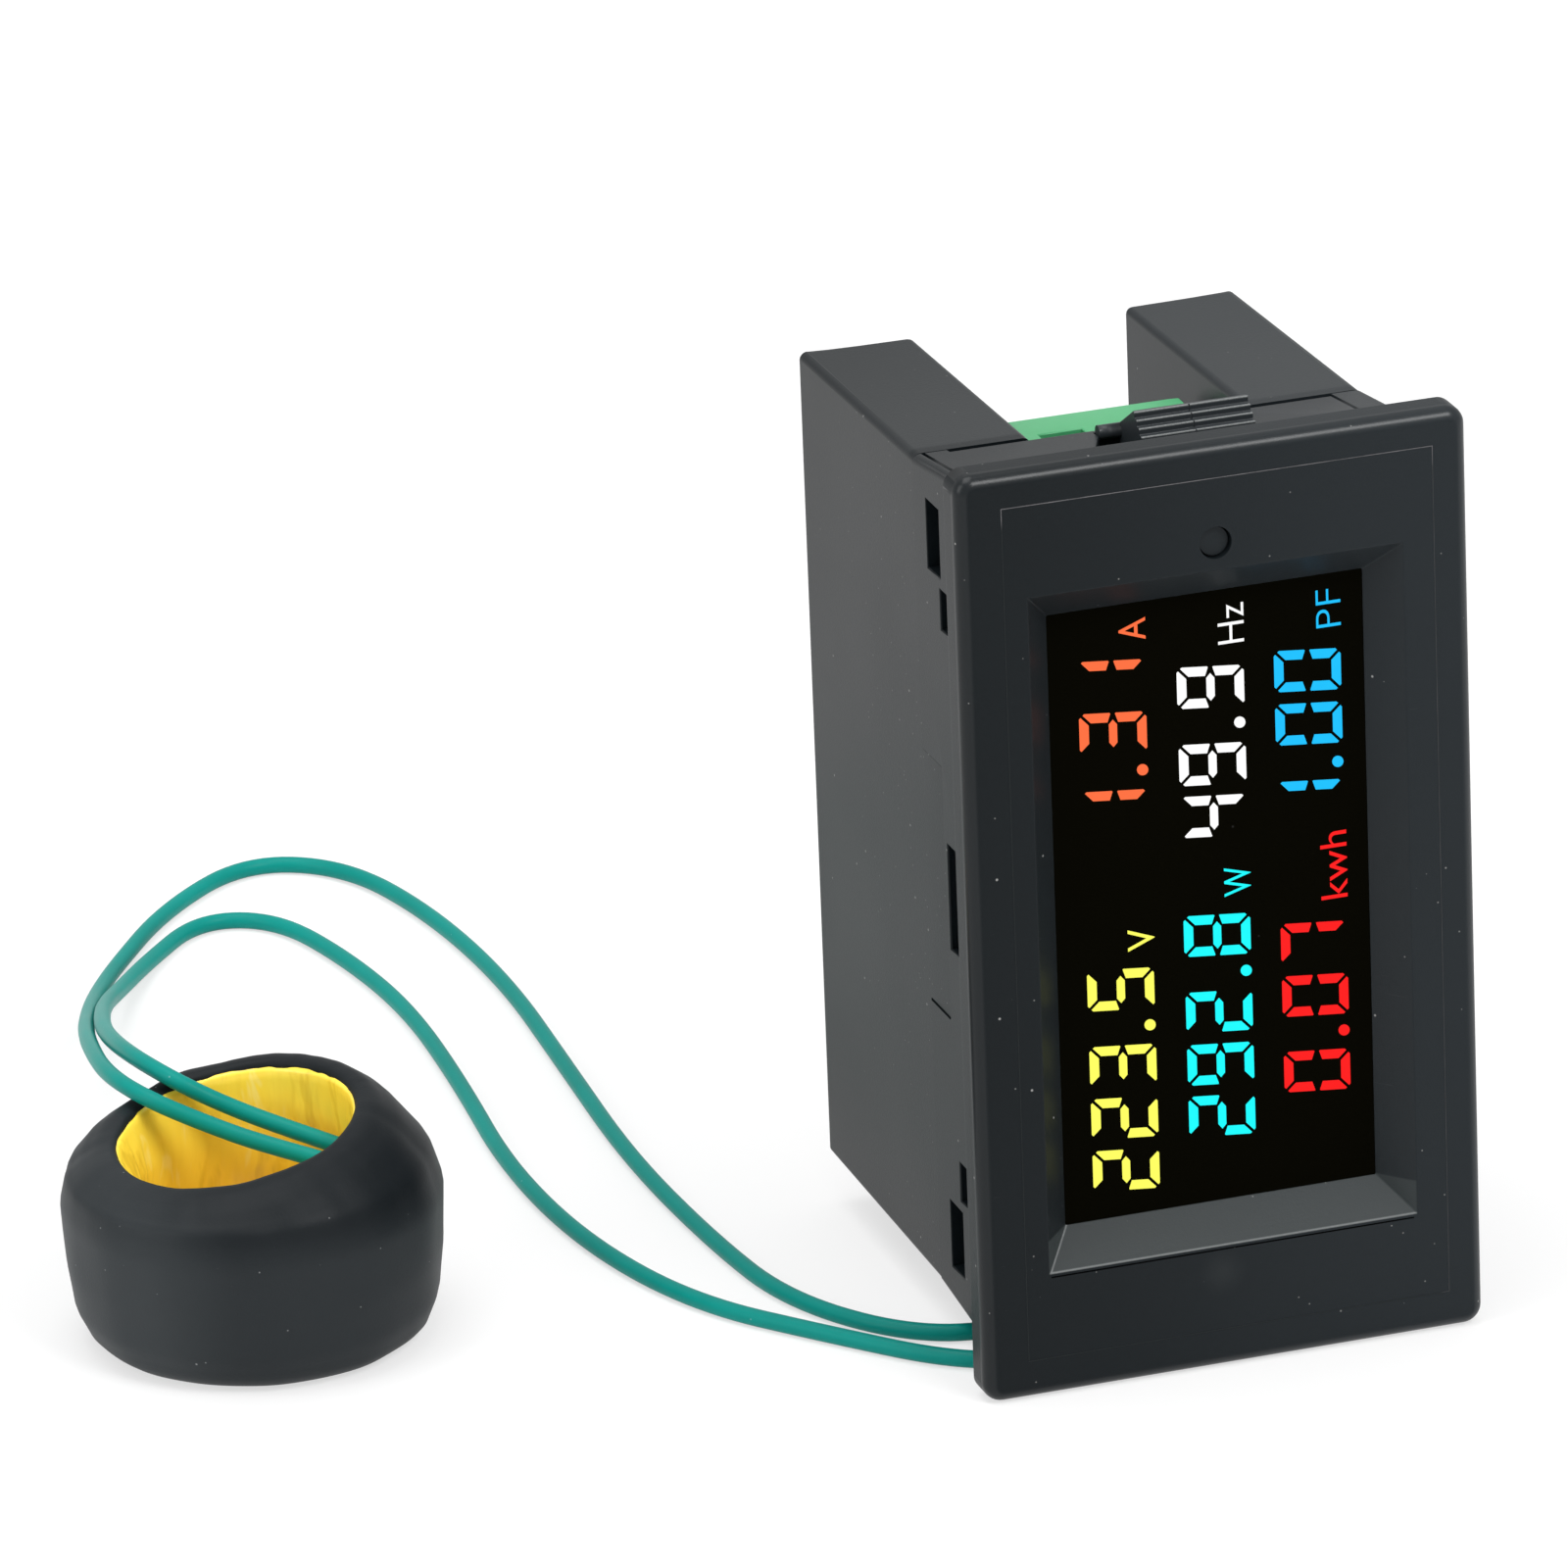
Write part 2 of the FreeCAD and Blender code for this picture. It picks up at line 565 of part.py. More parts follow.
def panel_clip():
    base_z = end_wall_z(CLIP_BASE_D)
    roll_z = end_wall_z(CLIP_ROLL_D) + CLIP_ROLL_RISE
    profile = [(CLIP_ROLL_D, roll_z), (CLIP_ROLL_D, end_wall_z(CLIP_ROLL_D) - CLIP_T),
               (CLIP_FRONT_D, end_wall_z(CLIP_FRONT_D) - CLIP_T), (CLIP_FRONT_D, base_z),
               (CLIP_BASE_D, base_z)]
    step_d = (CLIP_RIDGE_D - CLIP_BASE_D) / (CLIP_TEETH - 1)
    step_z = (CLIP_RIDGE_Z - base_z) / CLIP_TEETH
    for tooth in range(CLIP_TEETH):
        d = CLIP_BASE_D + tooth * step_d
        z = base_z + tooth * step_z
        if tooth:
            profile.append((d, z))
        profile.append((d, z + step_z))
    profile += [(CLIP_RIDGE_D + CLIP_RIDGE_FLAT, CLIP_RIDGE_Z), (CLIP_ROLL_D, roll_z + CLIP_ROLL_R)]
    wedge = prism_x(profile, CLIP_X0, CLIP_X1)
    roll = Part.makeCylinder(CLIP_ROLL_R, CLIP_X1 - CLIP_ROLL_X0,
                             Vector(CLIP_ROLL_X0, CLIP_ROLL_D + FRONT_Y, roll_z), Vector(1, 0, 0))
    clip = wedge.fuse(roll)
    for tooth in range(CLIP_TEETH):
        d = CLIP_BASE_D + tooth * step_d
        z = base_z + (tooth + 1) * step_z
        x0 = CLIP_SPLIT_X - CLIP_SPLIT_W / 2
        clip = clip.cut(box(x0, x0 + CLIP_SPLIT_W, d - PAST, d + CLIP_SPLIT_DEPTH, z - step_z, z + PAST))
    return clip.removeSplitter()


# Button and display

def button_cap():
    flange_d = BEZEL_T + BUTTON_FLANGE_GAP
    face = rod(0, BUTTON_Z, BUTTON_R, BUTTON_RECESS, flange_d + BUTTON_FLANGE_T)
    flange = rod(0, BUTTON_Z, BUTTON_FLANGE_R, flange_d, flange_d + BUTTON_FLANGE_T)
    stem = rod(0, BUTTON_Z, BUTTON_STEM_R, flange_d, PLUNGER_TIP_D)
    return fused([face, flange, stem])


def switch_plunger():
    return rod(0, BUTTON_Z, PLUNGER_R, PLUNGER_TIP_D, PLUNGER_END_D)


def tact_switch():
    half = SWITCH_SIZE / 2
    body = box(-half, half, SWITCH_FRONT_D, DISPLAY_BOARD_D, BUTTON_Z - half, BUTTON_Z + half)
    bore = rod(0, BUTTON_Z, PLUNGER_R + PLUNGER_GAP, SWITCH_FRONT_D - PAST, SWITCH_BORE_END_D)
    return body.cut(bore)


def lcd_holder():
    block = centred(GUIDE_W + 2 * HOLDER_WALL, GUIDE_H + 2 * HOLDER_WALL, FILM_D, DISPLAY_BOARD_D)
    return block.cut(centred(GUIDE_W, GUIDE_H, FILM_D - PAST, DISPLAY_BOARD_D + PAST))


def backlight_leds():
    pitch = GUIDE_W / LED_COLUMNS
    half = LED_SIZE / 2
    leds = []
    for side in (-1, 1):
        for index in range(LED_COLUMNS):
            x = (index - (LED_COLUMNS - 1) / 2) * pitch
            z = MID_Z + side * GUIDE_H / 4
            leds.append(box(x - half, x + half, GUIDE_D + GUIDE_T, DISPLAY_BOARD_D, z - half, z + half))
    return leds


def lcd_pins():
    pins = []
    edge = GLASS_W / 2
    for side in (-1, 1):
        for index in range(PINS_PER_SIDE):
            z = MID_Z + (index - (PINS_PER_SIDE - 1) / 2) * PIN_PITCH
            x0, x1 = sorted((side * edge, side * (edge + PIN_W)))
            pins.append(box(x0, x1, GLASS_D, DISPLAY_REAR_D + PIN_W, z - PIN_W / 2, z + PIN_W / 2))
    return pins


# Boards

def board(d, holes):
    blank = Part.Face(outline(BOARD_W, BOARD_H, BOARD_CORNER_R, d)).extrude(Vector(0, BOARD_T, 0))
    drilled = [rod(x, z, SCREW_R + SCREW_HOLE_GAP, d - PAST, d + BOARD_T + PAST) for x, z in BOARD_SCREWS]
    return blank.cut(drilled + holes)


def display_board():
    slack = PIN_HOLE_GAP
    edge = GLASS_W / 2
    holes = []
    for side in (-1, 1):
        x0, x1 = sorted((side * (edge - slack), side * (edge + PIN_W + slack)))
        for index in range(PINS_PER_SIDE):
            z = MID_Z + (index - (PINS_PER_SIDE - 1) / 2) * PIN_PITCH
            reach = PIN_W / 2 + slack
            holes.append(box(x0, x1, DISPLAY_BOARD_D - PAST, DISPLAY_REAR_D + PAST, z - reach, z + reach))
    return board(DISPLAY_BOARD_D, holes + link_holes(DISPLAY_BOARD_D))


def link_places():
    return [MID_Z + (index - (LINK_PINS - 1) / 2) * LINK_PITCH for index in range(LINK_PINS)]


def link_holes(d):
    reach = LINK_PIN_W / 2 + PIN_HOLE_GAP
    return [box(LINK_X - reach, LINK_X + reach, d - PAST, d + BOARD_T + PAST, z - reach, z + reach)
            for z in link_places()]


def board_link_pins():
    half = LINK_PIN_W / 2
    end = BOARD_REAR_D + LINK_PIN_STAND
    return [box(LINK_X - half, LINK_X + half, DISPLAY_BOARD_D, end, z - half, z + half)
            for z in link_places()]


def board_link_header():
    half_l = LINK_PINS * LINK_PITCH / 2
    half_w = LINK_PITCH / 2
    block = box(LINK_X - half_w, LINK_X + half_w, DISPLAY_REAR_D, POWER_BOARD_D, MID_Z - half_l,
                MID_Z + half_l)
    reach = LINK_PIN_W / 2 + PIN_HOLE_GAP
    holes = [box(LINK_X - reach, LINK_X + reach, DISPLAY_BOARD_D, POWER_BOARD_D + PAST, z - reach, z + reach)
             for z in link_places()]
    return block.cut(holes)


def power_board():
    reach_x = CONTACT_LEG_W / 2 + CONTACT_GAP
    holes = []
    for pole in (-POLE_X, POLE_X):
        hole = box(pole - reach_x, pole + reach_x, POWER_BOARD_D - PAST, BOARD_REAR_D + PAST,
                   leg_z() - CONTACT_GAP, leg_z() + CONTACT_LEG_T + CONTACT_GAP)
        holes += [hole, flipped(hole)]
    return board(POWER_BOARD_D, holes + link_holes(POWER_BOARD_D))


def board_spacers():
    spacers = []
    for x, z in BOARD_SCREWS:
        hole = rod(x, z, SCREW_R + SCREW_HOLE_GAP, DISPLAY_BOARD_D, POWER_BOARD_D + PAST)
        spacers.append(rod(x, z, SPACER_R, DISPLAY_REAR_D, POWER_BOARD_D).cut(hole))
    return spacers


def board_screws():
    screws = []
    for x, z in BOARD_SCREWS:
        shank = rod(x, z, SCREW_R, DISPLAY_BOARD_D - SCREW_BITE, BOARD_REAR_D)
        head = rod(x, z, SCREW_HEAD_R, BOARD_REAR_D, BOARD_REAR_D + SCREW_HEAD_T)
        near = BOARD_REAR_D + SCREW_HEAD_T / 2
        far = BOARD_REAR_D + SCREW_HEAD_T + PAST
        cross = []
        for half_x, half_z in ((SCREW_SLOT_L / 2, SCREW_SLOT_W / 2), (SCREW_SLOT_W / 2, SCREW_SLOT_L / 2)):
            cross.append(box(x - half_x, x + half_x, near, far, z - half_z, z + half_z))
        screws.append(shank.fuse(head).removeSplitter().cut(cross))
    return screws


# Parts on the boards: x, z from the middle, width, height, thickness

def chip(x, dz, width, height, thickness, reach, face_d):
    z = MID_Z + dz
    body = box(x - width / 2, x + width / 2, face_d, face_d + thickness, z - height / 2, z + height / 2)
    legs = []
    count = int(height / CHIP_PITCH)
    for side in (-1, 1):
        x0, x1 = sorted((side * (width / 2 - CHIP_LEG_W), side * (width / 2 + reach)))
        for index in range(count):
            at = z + (index - (count - 1) / 2) * CHIP_PITCH
            legs.append(box(x + x0, x + x1, face_d, face_d + CHIP_LEG_T, at - CHIP_LEG_W / 2,
                            at + CHIP_LEG_W / 2))
    return body.fuse(legs).removeSplitter()


def small_parts(places, face_d):
    half_l = SMALL_PART_L / 2
    half_w = SMALL_PART_W / 2
    far = face_d + SMALL_PART_T
    return [box(x - half_l, x + half_l, face_d, far, MID_Z + dz - half_w, MID_Z + dz + half_w)
            for x, dz in places]


def can(x, dz, radius, face_d, length):
    return rod(x, MID_Z + dz, radius, face_d, face_d + length)


def around_core(half_w, d0, d1, half_h):
    # Box centred on the mains transformer, with depths counted from the board
    z = MID_Z + CORE_DZ
    return box(CORE_X - half_w, CORE_X + half_w, BOARD_REAR_D + d0, BOARD_REAR_D + d1,
               z - half_h, z + half_h)


def core_windows():
    near = CORE_D0 + CORE_YOKE
    far = CORE_D1 - CORE_YOKE
    opening = around_core(CORE_LEG_W / 2 + CORE_WINDOW_W, near, far, CORE_STACK)
    return opening.cut(around_core(CORE_LEG_W / 2, CORE_D0, CORE_D1, CORE_STACK))


def transformer_core():
    return around_core(CORE_W / 2, CORE_D0, CORE_D1, CORE_STACK / 2).cut(core_windows())


def transformer_bobbin():
    coil_half = CORE_LEG_W / 2 + CORE_WINDOW_W - BOBBIN_GAP
    near = CORE_D0 + CORE_YOKE + BOBBIN_GAP
    far = CORE_D1 - CORE_YOKE - BOBBIN_GAP
    coil = around_core(coil_half, near, far, CORE_STACK / 2 + COIL_OVERHANG)
    base_far = CORE_D0 - BOBBIN_GAP
    base = around_core(CORE_W / 2, 0, base_far, BOBBIN_H / 2)
    neck = around_core(coil_half, base_far - ROOT, near + ROOT, CORE_STACK / 2 + COIL_OVERHANG)
    stack_room = around_core(CORE_W, base_far, near, CORE_STACK / 2 + BOBBIN_GAP)
    leg_room = around_core(CORE_LEG_W / 2 + BOBBIN_GAP, CORE_D0, CORE_D1, CORE_STACK / 2 + BOBBIN_GAP)
    return fused([coil, base, neck]).cut([stack_room, leg_room])


def filter_capacitor():
    z0 = MID_Z - ROOM_END + FILTER_END
    return box(FILTER_X0, FILTER_X0 + FILTER_W, BOARD_REAR_D, BOARD_REAR_D + FILTER_T, z0, z0 + FILTER_L)


def surge_varistor():
    z1 = MID_Z + ROOM_END - VARISTOR_END
    return box(VARISTOR_X[0], VARISTOR_X[1], BOARD_REAR_D, BOARD_REAR_D + VARISTOR_T, z1 - VARISTOR_L, z1)


# Terminal blocks

def leg_z():
    return CLAMP_SCREW_Z - CAGE_L / 2 - CONTACT_REACH - CONTACT_LEG_T


def terminal():
    slope_d = BOARD_REAR_D + TERMINAL_SLOPE_FROM
    body = prism_x(((BOARD_REAR_D, TERMINAL_INNER_Z), (BOARD_REAR_D, TERMINAL_OUTER_Z),
                    (slope_d, TERMINAL_OUTER_Z), (TERMINAL_REAR_D, TERMINAL_REAR_OUTER_Z),
                    (TERMINAL_REAR_D, TERMINAL_REAR_INNER_Z),
                    (TERMINAL_REAR_D - TERMINAL_REAR_SLOPE, TERMINAL_INNER_Z)),
                   -TERMINAL_W / 2, TERMINAL_W / 2)
    cuts = []
    room_z0 = leg_z() - CONTACT_GAP
    room_z1 = CLAMP_SCREW_Z + CAGE_L / 2 + ROOM_END_GAP
    room_d0 = cage_d(0) - CAGE_GAP
    room_d1 = cage_d(CAGE_TRAVEL) + CAGE_OPENING + 2 * CAGE_BAR + CAGE_GAP
    entry_d1 = CONTACT_D + ENTRY_PAST_BAR
    for pole in (-POLE_X, POLE_X):
        half = CAGE_W / 2 + CAGE_GAP
        cuts.append(box(pole - half, pole + half, room_d0, room_d1, room_z0, room_z1))
        cuts.append(box(pole - ENTRY_W / 2, pole + ENTRY_W / 2, entry_d1 - ENTRY_H, entry_d1,
                        CLAMP_SCREW_Z, BEZEL_H))
        far = TERMINAL_REAR_D + PAST
        cuts.append(rod(pole, CLAMP_SCREW_Z, CLAMP_NECK_R, room_d1 - ROOT, far))
        cuts.append(rod(pole, CLAMP_SCREW_Z, CLAMP_BORE_R, CLAMP_HEAD_D - CLAMP_SEAT_GAP, far))
        reach = CONTACT_LEG_W / 2 + CONTACT_GAP
        cuts.append(box(pole - reach, pole + reach, BOARD_REAR_D - PAST, room_d0 + ROOT, room_z0,
                        leg_z() + CONTACT_LEG_T + CONTACT_GAP))
    return body.cut(cuts)


def cage_d(lift):
    # Front face of the clamp cage: at full lift it presses the conductor on the contact bar
    pressed = CONTACT_D - 2 * CONDUCTOR_R - CLAMP_TOUCH - CAGE_BAR
    return pressed - CAGE_TRAVEL + lift


def clamp_cage(pole, lift):
    d = cage_d(lift)
    deep = CAGE_OPENING + 2 * CAGE_BAR
    z0 = CLAMP_SCREW_Z - CAGE_L / 2
    outer = box(pole - CAGE_W / 2, pole + CAGE_W / 2, d, d + deep, z0, z0 + CAGE_L)
    hole = box(pole - CAGE_W / 2 + CAGE_SIDE, pole + CAGE_W / 2 - CAGE_SIDE, d + CAGE_BAR,
               d + CAGE_BAR + CAGE_OPENING, z0 - PAST, z0 + CAGE_L + PAST)
    thread = rod(pole, CLAMP_SCREW_Z, CLAMP_SCREW_R + CLAMP_THREAD_GAP, d + CAGE_BAR + CAGE_OPENING - ROOT,
                 d + deep + PAST)
    return outer.cut([hole, thread])


def clamp_screw(pole):
    shank_end = CONTACT_D + CONTACT_T + CLAMP_TIP_GAP
    shank = rod(pole, CLAMP_SCREW_Z, CLAMP_SCREW_R, shank_end, CLAMP_HEAD_D)
    head = rod(pole, CLAMP_SCREW_Z, CLAMP_HEAD_R, CLAMP_HEAD_D, CLAMP_HEAD_D + CLAMP_HEAD_T)
    top = CLAMP_HEAD_D + CLAMP_HEAD_T
    slot = box(pole - CLAMP_HEAD_R - PAST, pole + CLAMP_HEAD_R + PAST, top - CLAMP_SLOT_DEPTH, top + PAST,
               CLAMP_SCREW_Z - CLAMP_SLOT_W / 2, CLAMP_SCREW_Z + CLAMP_SLOT_W / 2)
    return shank.fuse(head).removeSplitter().cut(slot)


def contacts():
    bars = []
    for pole in (-POLE_X, POLE_X):
        z0 = leg_z()
        bar = box(pole - CONTACT_W / 2, pole + CONTACT_W / 2, CONTACT_D, CONTACT_D + CONTACT_T, z0,
                  CLAMP_SCREW_Z + CAGE_L / 2 + CONTACT_REACH)
        leg = box(pole - CONTACT_LEG_W / 2, pole + CONTACT_LEG_W / 2, POWER_BOARD_D - CONTACT_TAIL,
                  CONTACT_D + CONTACT_T / 2, z0, z0 + CONTACT_LEG_T)
        bars.append(fused([bar, leg]))
    return bars


def lead_conductors():
    d = CONTACT_D - CONDUCTOR_R - CLAMP_TOUCH / 2
    return [upright(pole, d, CONDUCTOR_R, LEAD_START_Z, LEAD_START_Z + STRIP_L)
            for pole in (-POLE_X, POLE_X)]


# Current transformer

def tilted_circle(z, radius, share):
    centre = Vector(CT_X + CT_LIP_SHIFT * share, FRONT_Y + CT_D, z)
    normal = Vector(-CT_TILT_X * share, -CT_TILT_D * share, 1)
    return Part.Wire([Part.makeCircle(radius, centre, normal)])


def ring(radius0, radius1, z0, z1):
    return upright(CT_X, CT_D, radius1, z0, z1).cut(upright(CT_X, CT_D, radius0, z0 - PAST, z1 + PAST))


CT_WINDING_R0 = CT_BORE_R + CT_TAPE_T
CT_CORE_R0 = CT_WINDING_R0 + CT_WINDING_T
CT_CORE_Z = CT_WINDING_Z + CT_WINDING_T
CT_CORE_R1 = CT_CORE_R0 + CT_CORE_T
CT_WINDING_R1 = CT_CORE_R1 + CT_WINDING_OUTER_T
CT_WINDING_TOP = CT_CORE_Z + CT_CORE_H + CT_WINDING_T


def ct_core():
    return ring(CT_CORE_R0, CT_CORE_R1, CT_CORE_Z, CT_CORE_Z + CT_CORE_H)


def ct_winding():
    body = ring(CT_WINDING_R0, CT_WINDING_R1, CT_WINDING_Z, CT_WINDING_TOP)
    return body.cut(ct_core())


def ct_tape_outer():
    foot_z = CT_WINDING_Z - CT_TAPE_UNDER
    foot = tilted_circle(foot_z, CT_TAPE_FOOT_R, 0)
    low = tilted_circle(foot_z + CT_TAPE_FOOT_H, CT_TAPE_OUTER_R, 0)
    shoulder = tilted_circle(CT_TAPE_SHOULDER_Z, CT_TAPE_OUTER_R, 0)
    top = tilted_circle(CT_TAPE_TOP_Z, CT_TAPE_TOP_R, 1)
    return Part.makeLoft([foot, low, shoulder, top], True, True)


def ct_bore(radius):
    foot = tilted_circle(-PAST, radius, 0)
    bend = tilted_circle(CT_WINDING_TOP, radius, 0)
    lip = tilted_circle(CT_SLEEVE[-1][0] + PAST, radius, 1)
    return Part.makeLoft([foot, bend, lip], True, True)


def ct_tape():
    filled = ring(CT_WINDING_R0, CT_WINDING_R1, CT_WINDING_Z, CT_WINDING_TOP)
    return ct_tape_outer().cut([ct_bore(CT_BORE_R), filled])


def ct_sleeve():
    outer = Part.makeLoft([tilted_circle(z, r, share) for z, r, share in CT_SLEEVE], True, True)
    return outer.cut([ct_bore(CT_LIP_R), ct_tape_outer()])


# Leads: straight runs joined by tangent arcs

def lead(name, route):
    points = [Vector(x, FRONT_Y + d, z) for x, d, z in route]
    edges = []
    start = points[0]
    length = 0.0
    radii = []
    for before, corner, after in zip(points, points[1:], points[2:]):
        back = before - corner
        ahead = after - corner
        turn = math.pi - back.getAngle(ahead)
        shorter = min(back.Length, ahead.Length)
        trim = ARC_SHARE * shorter
        radius = trim / math.tan(turn / 2)
        radii.append(radius)
        back.normalize()
        ahead.normalize()
        first = corner + back * trim
        last = corner + ahead * trim
        inward = back + ahead
        inward.normalize()
        middle = corner + inward * (radius / math.cos(turn / 2) - radius)
        edges.append(Part.LineSegment(start, first).toShape())
        edges.append(Part.Arc(first, middle, last).toShape())
        length += (first - start).Length + radius * turn
        start = last
    edges.append(Part.LineSegment(start, points[-1]).toShape())
    length += (points[-1] - start).Length
    path = Part.Wire(edges)
    direction = points[1] - points[0]
    section = Part.Wire([Part.makeCircle(LEAD_R, points[0], direction)])
    tube = path.makePipeShell([section], True, False)
    expected = math.pi * LEAD_R ** 2 * length
    print("%s length %.1f volume %.2f of %.2f" % (name, length, tube.Volume, expected))
    print("  radii", " ".join("%.1f" % r for r in radii))
    return tube


# Write one file for each piece

save("front_frame", front_frame())
save("rear_housing", rear_housing())
save("rear_label", rear_label())
save("top_clip", panel_clip())
save("bottom_clip", flipped(panel_clip()))
save("button_cap", button_cap())
save("switch_plunger", switch_plunger())
save("tact_switch", tact_switch())
save("display_window", centred(LENS_W, LENS_H, WINDOW_DEPTH, GLASS_D))
save("lcd_glass", centred(GLASS_W, GLASS_H, GLASS_D, FILM_D))
save("colour_film", centred(GUIDE_W, GUIDE_H, FILM_D, DIFFUSER_D))
save("diffuser", centred(GUIDE_W, GUIDE_H, DIFFUSER_D, GUIDE_D))
save("light_guide", centred(GUIDE_W, GUIDE_H, GUIDE_D, GUIDE_D + GUIDE_T))
save("lcd_holder", lcd_holder())
save("backlight_leds", backlight_leds())
save("lcd_pins", lcd_pins())
save("display_board", display_board())
save("controller_chip", chip(*CONTROLLER, DISPLAY_REAR_D))
save("metering_chip", chip(*METERING, DISPLAY_REAR_D))
save("timing_crystal", can(CRYSTAL_X, CRYSTAL_DZ, CRYSTAL_R, DISPLAY_REAR_D, CRYSTAL_T))
save("display_board_parts", small_parts(DISPLAY_PARTS, DISPLAY_REAR_D))
save("board_link_pins", board_link_pins())
save("board_link_header", board_link_header())
save("power_board", power_board())
save("board_spacers", board_spacers())
save("board_screws", board_screws())
save("transformer_core", transformer_core())
save("transformer_bobbin", transformer_bobbin())
save("storage_capacitors", [can(x, ROOM_END - end, STORAGE_R, BOARD_REAR_D, STORAGE_L)
                            for x, end in STORAGE_PLACES])
save("filter_capacitor", filter_capacitor())
save("surge_varistor", surge_varistor())
save("input_fuse", can(FUSE_X, ROOM_END - FUSE_END, FUSE_R, BOARD_REAR_D, FUSE_L))
save("bridge_rectifier", chip(RECTIFIER_X, RECTIFIER_END - ROOM_END, *RECTIFIER_SIZE, RECTIFIER_LEG,
                              BOARD_REAR_D))
save("burden_resistors", small_parts([(x, BURDEN_END - ROOM_END) for x in BURDEN_X], BOARD_REAR_D))
save("voltage_regulator", chip(*REGULATOR, BOARD_REAR_D))
save("green_terminal", terminal())
save("blue_terminal", flipped(terminal()))
save("green_contacts", contacts())
save("blue_contacts", [flipped(bar) for bar in contacts()])
for side, pole in (("left", -POLE_X), ("right", POLE_X)):
    save("green_screw_" + side, clamp_screw(pole))
    save("green_cage_" + side, clamp_cage(pole, 0))
    save("blue_screw_" + side, flipped(clamp_screw(pole)))
    save("blue_cage_" + side, flipped(clamp_cage(pole, CAGE_TRAVEL)))
save("lead_conductors", lead_conductors())
save("ct_core", ct_core())
save("ct_winding", ct_winding())
save("ct_tape", ct_tape())
save("ct_sleeve", ct_sleeve())
save("lead_outer", lead("lead_outer", LEAD_OUTER))
save("lead_inner", lead("lead_inner", LEAD_INNER))
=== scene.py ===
import bpy
import bmesh
import json
import math
from mathutils import Matrix, Vector, noise


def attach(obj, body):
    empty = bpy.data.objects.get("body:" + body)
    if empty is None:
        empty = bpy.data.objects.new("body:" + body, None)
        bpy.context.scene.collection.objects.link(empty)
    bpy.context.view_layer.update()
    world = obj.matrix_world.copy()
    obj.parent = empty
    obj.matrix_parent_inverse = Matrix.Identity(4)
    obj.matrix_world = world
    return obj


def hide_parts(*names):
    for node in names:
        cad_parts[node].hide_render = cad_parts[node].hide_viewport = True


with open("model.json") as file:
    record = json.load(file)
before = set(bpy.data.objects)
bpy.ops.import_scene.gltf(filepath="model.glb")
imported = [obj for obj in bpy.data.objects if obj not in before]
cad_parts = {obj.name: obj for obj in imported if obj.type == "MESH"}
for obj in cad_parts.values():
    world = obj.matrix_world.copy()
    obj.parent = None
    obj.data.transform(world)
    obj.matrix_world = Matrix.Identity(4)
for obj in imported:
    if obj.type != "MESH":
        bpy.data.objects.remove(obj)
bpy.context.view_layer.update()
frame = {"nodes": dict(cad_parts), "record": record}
scene = bpy.context.scene

# All lengths are in millimetres and are turned into metres where they are used
MM = 0.001
BEZEL_W = 43.0
BEZEL_H = 79.0
FRONT_Y = -23.25
POLE_X = 3.81
LEAD_R = 0.725


def spot(x, depth, z):
    """A point of the meter: across, behind the bezel's face and above its lower edge, in millimetres"""
    return Vector((x * MM, (depth + FRONT_Y) * MM, z * MM))


# Camera

EYE_AT = (-0.31970, -0.91082, 0.40804)
EYE_AXES = ((0.94765, 0.14540, -0.28430), (-0.31713, 0.32434, -0.89120), (-0.03737, 0.93470, 0.35347))
EYE_LENS = 291.05
EYE_SENSOR = 36.0
EYE_SEES = (0.05, 20.0)

eye = bpy.data.objects.new("camera", bpy.data.cameras.new("camera"))
scene.collection.objects.link(eye)
eye.data.lens = EYE_LENS
eye.data.sensor_width = EYE_SENSOR
eye.data.clip_start, eye.data.clip_end = EYE_SEES
eye.matrix_world = Matrix.Translation(Vector(EYE_AT)) @ Matrix(EYE_AXES).to_4x4()
scene.camera = eye


# Node trees

class Link:
    """A node socket that takes part in Python expressions"""

    def __init__(self, owner, socket):
        self.owner = owner
        self.socket = socket

    def maths(self, operation, *values):
        return self.owner.node("ShaderNodeMath", {"operation": operation}, dict(enumerate(values)))

    def __add__(self, other):
        return self.maths("ADD", self, other)

    def __sub__(self, other):
        return self.maths("SUBTRACT", self, other)

    def __rsub__(self, other):
        return self.maths("SUBTRACT", other, self)

    def __mul__(self, other):
        return self.maths("MULTIPLY", self, other)

    def __truediv__(self, other):
        return self.maths("DIVIDE", self, other)

    __radd__ = __add__
    __rmul__ = __mul__

    def above(self, edge, soft):
        """0 below the edge and 1 above it, over a soft band"""
        settings = {"interpolation_type": "SMOOTHSTEP"}
        band = {0: self, 1: edge - soft, 2: edge + soft, 3: 0.0, 4: 1.0}
        return self.owner.node("ShaderNodeMapRange", settings, band)

    def below(self, edge, soft):
        return 1 - self.above(edge, soft)

    def between(self, low, high, soft):
        return self.above(low, soft) * self.below(high, soft)

    def at_most(self, other):
        return self.maths("MINIMUM", self, other)

    def at_least(self, other):
        return self.maths("MAXIMUM", self, other)

    def cosine(self):
        return self.maths("COSINE", self)

    def sine(self):
        return self.maths("SINE", self)


class Nodes:
    """A node tree that is built by one generic method"""

    def node(self, kind, settings=None, inputs=None, output=0):
        made = self.tree.nodes.new(kind)
        for key, value in (settings or {}).items():
            setattr(made, key, value)
        for key, value in (inputs or {}).items():
            if isinstance(value, Link):
                self.tree.links.new(value.socket, made.inputs[key])
            else:
                made.inputs[key].default_value = value
        return Link(self, made.outputs[output])


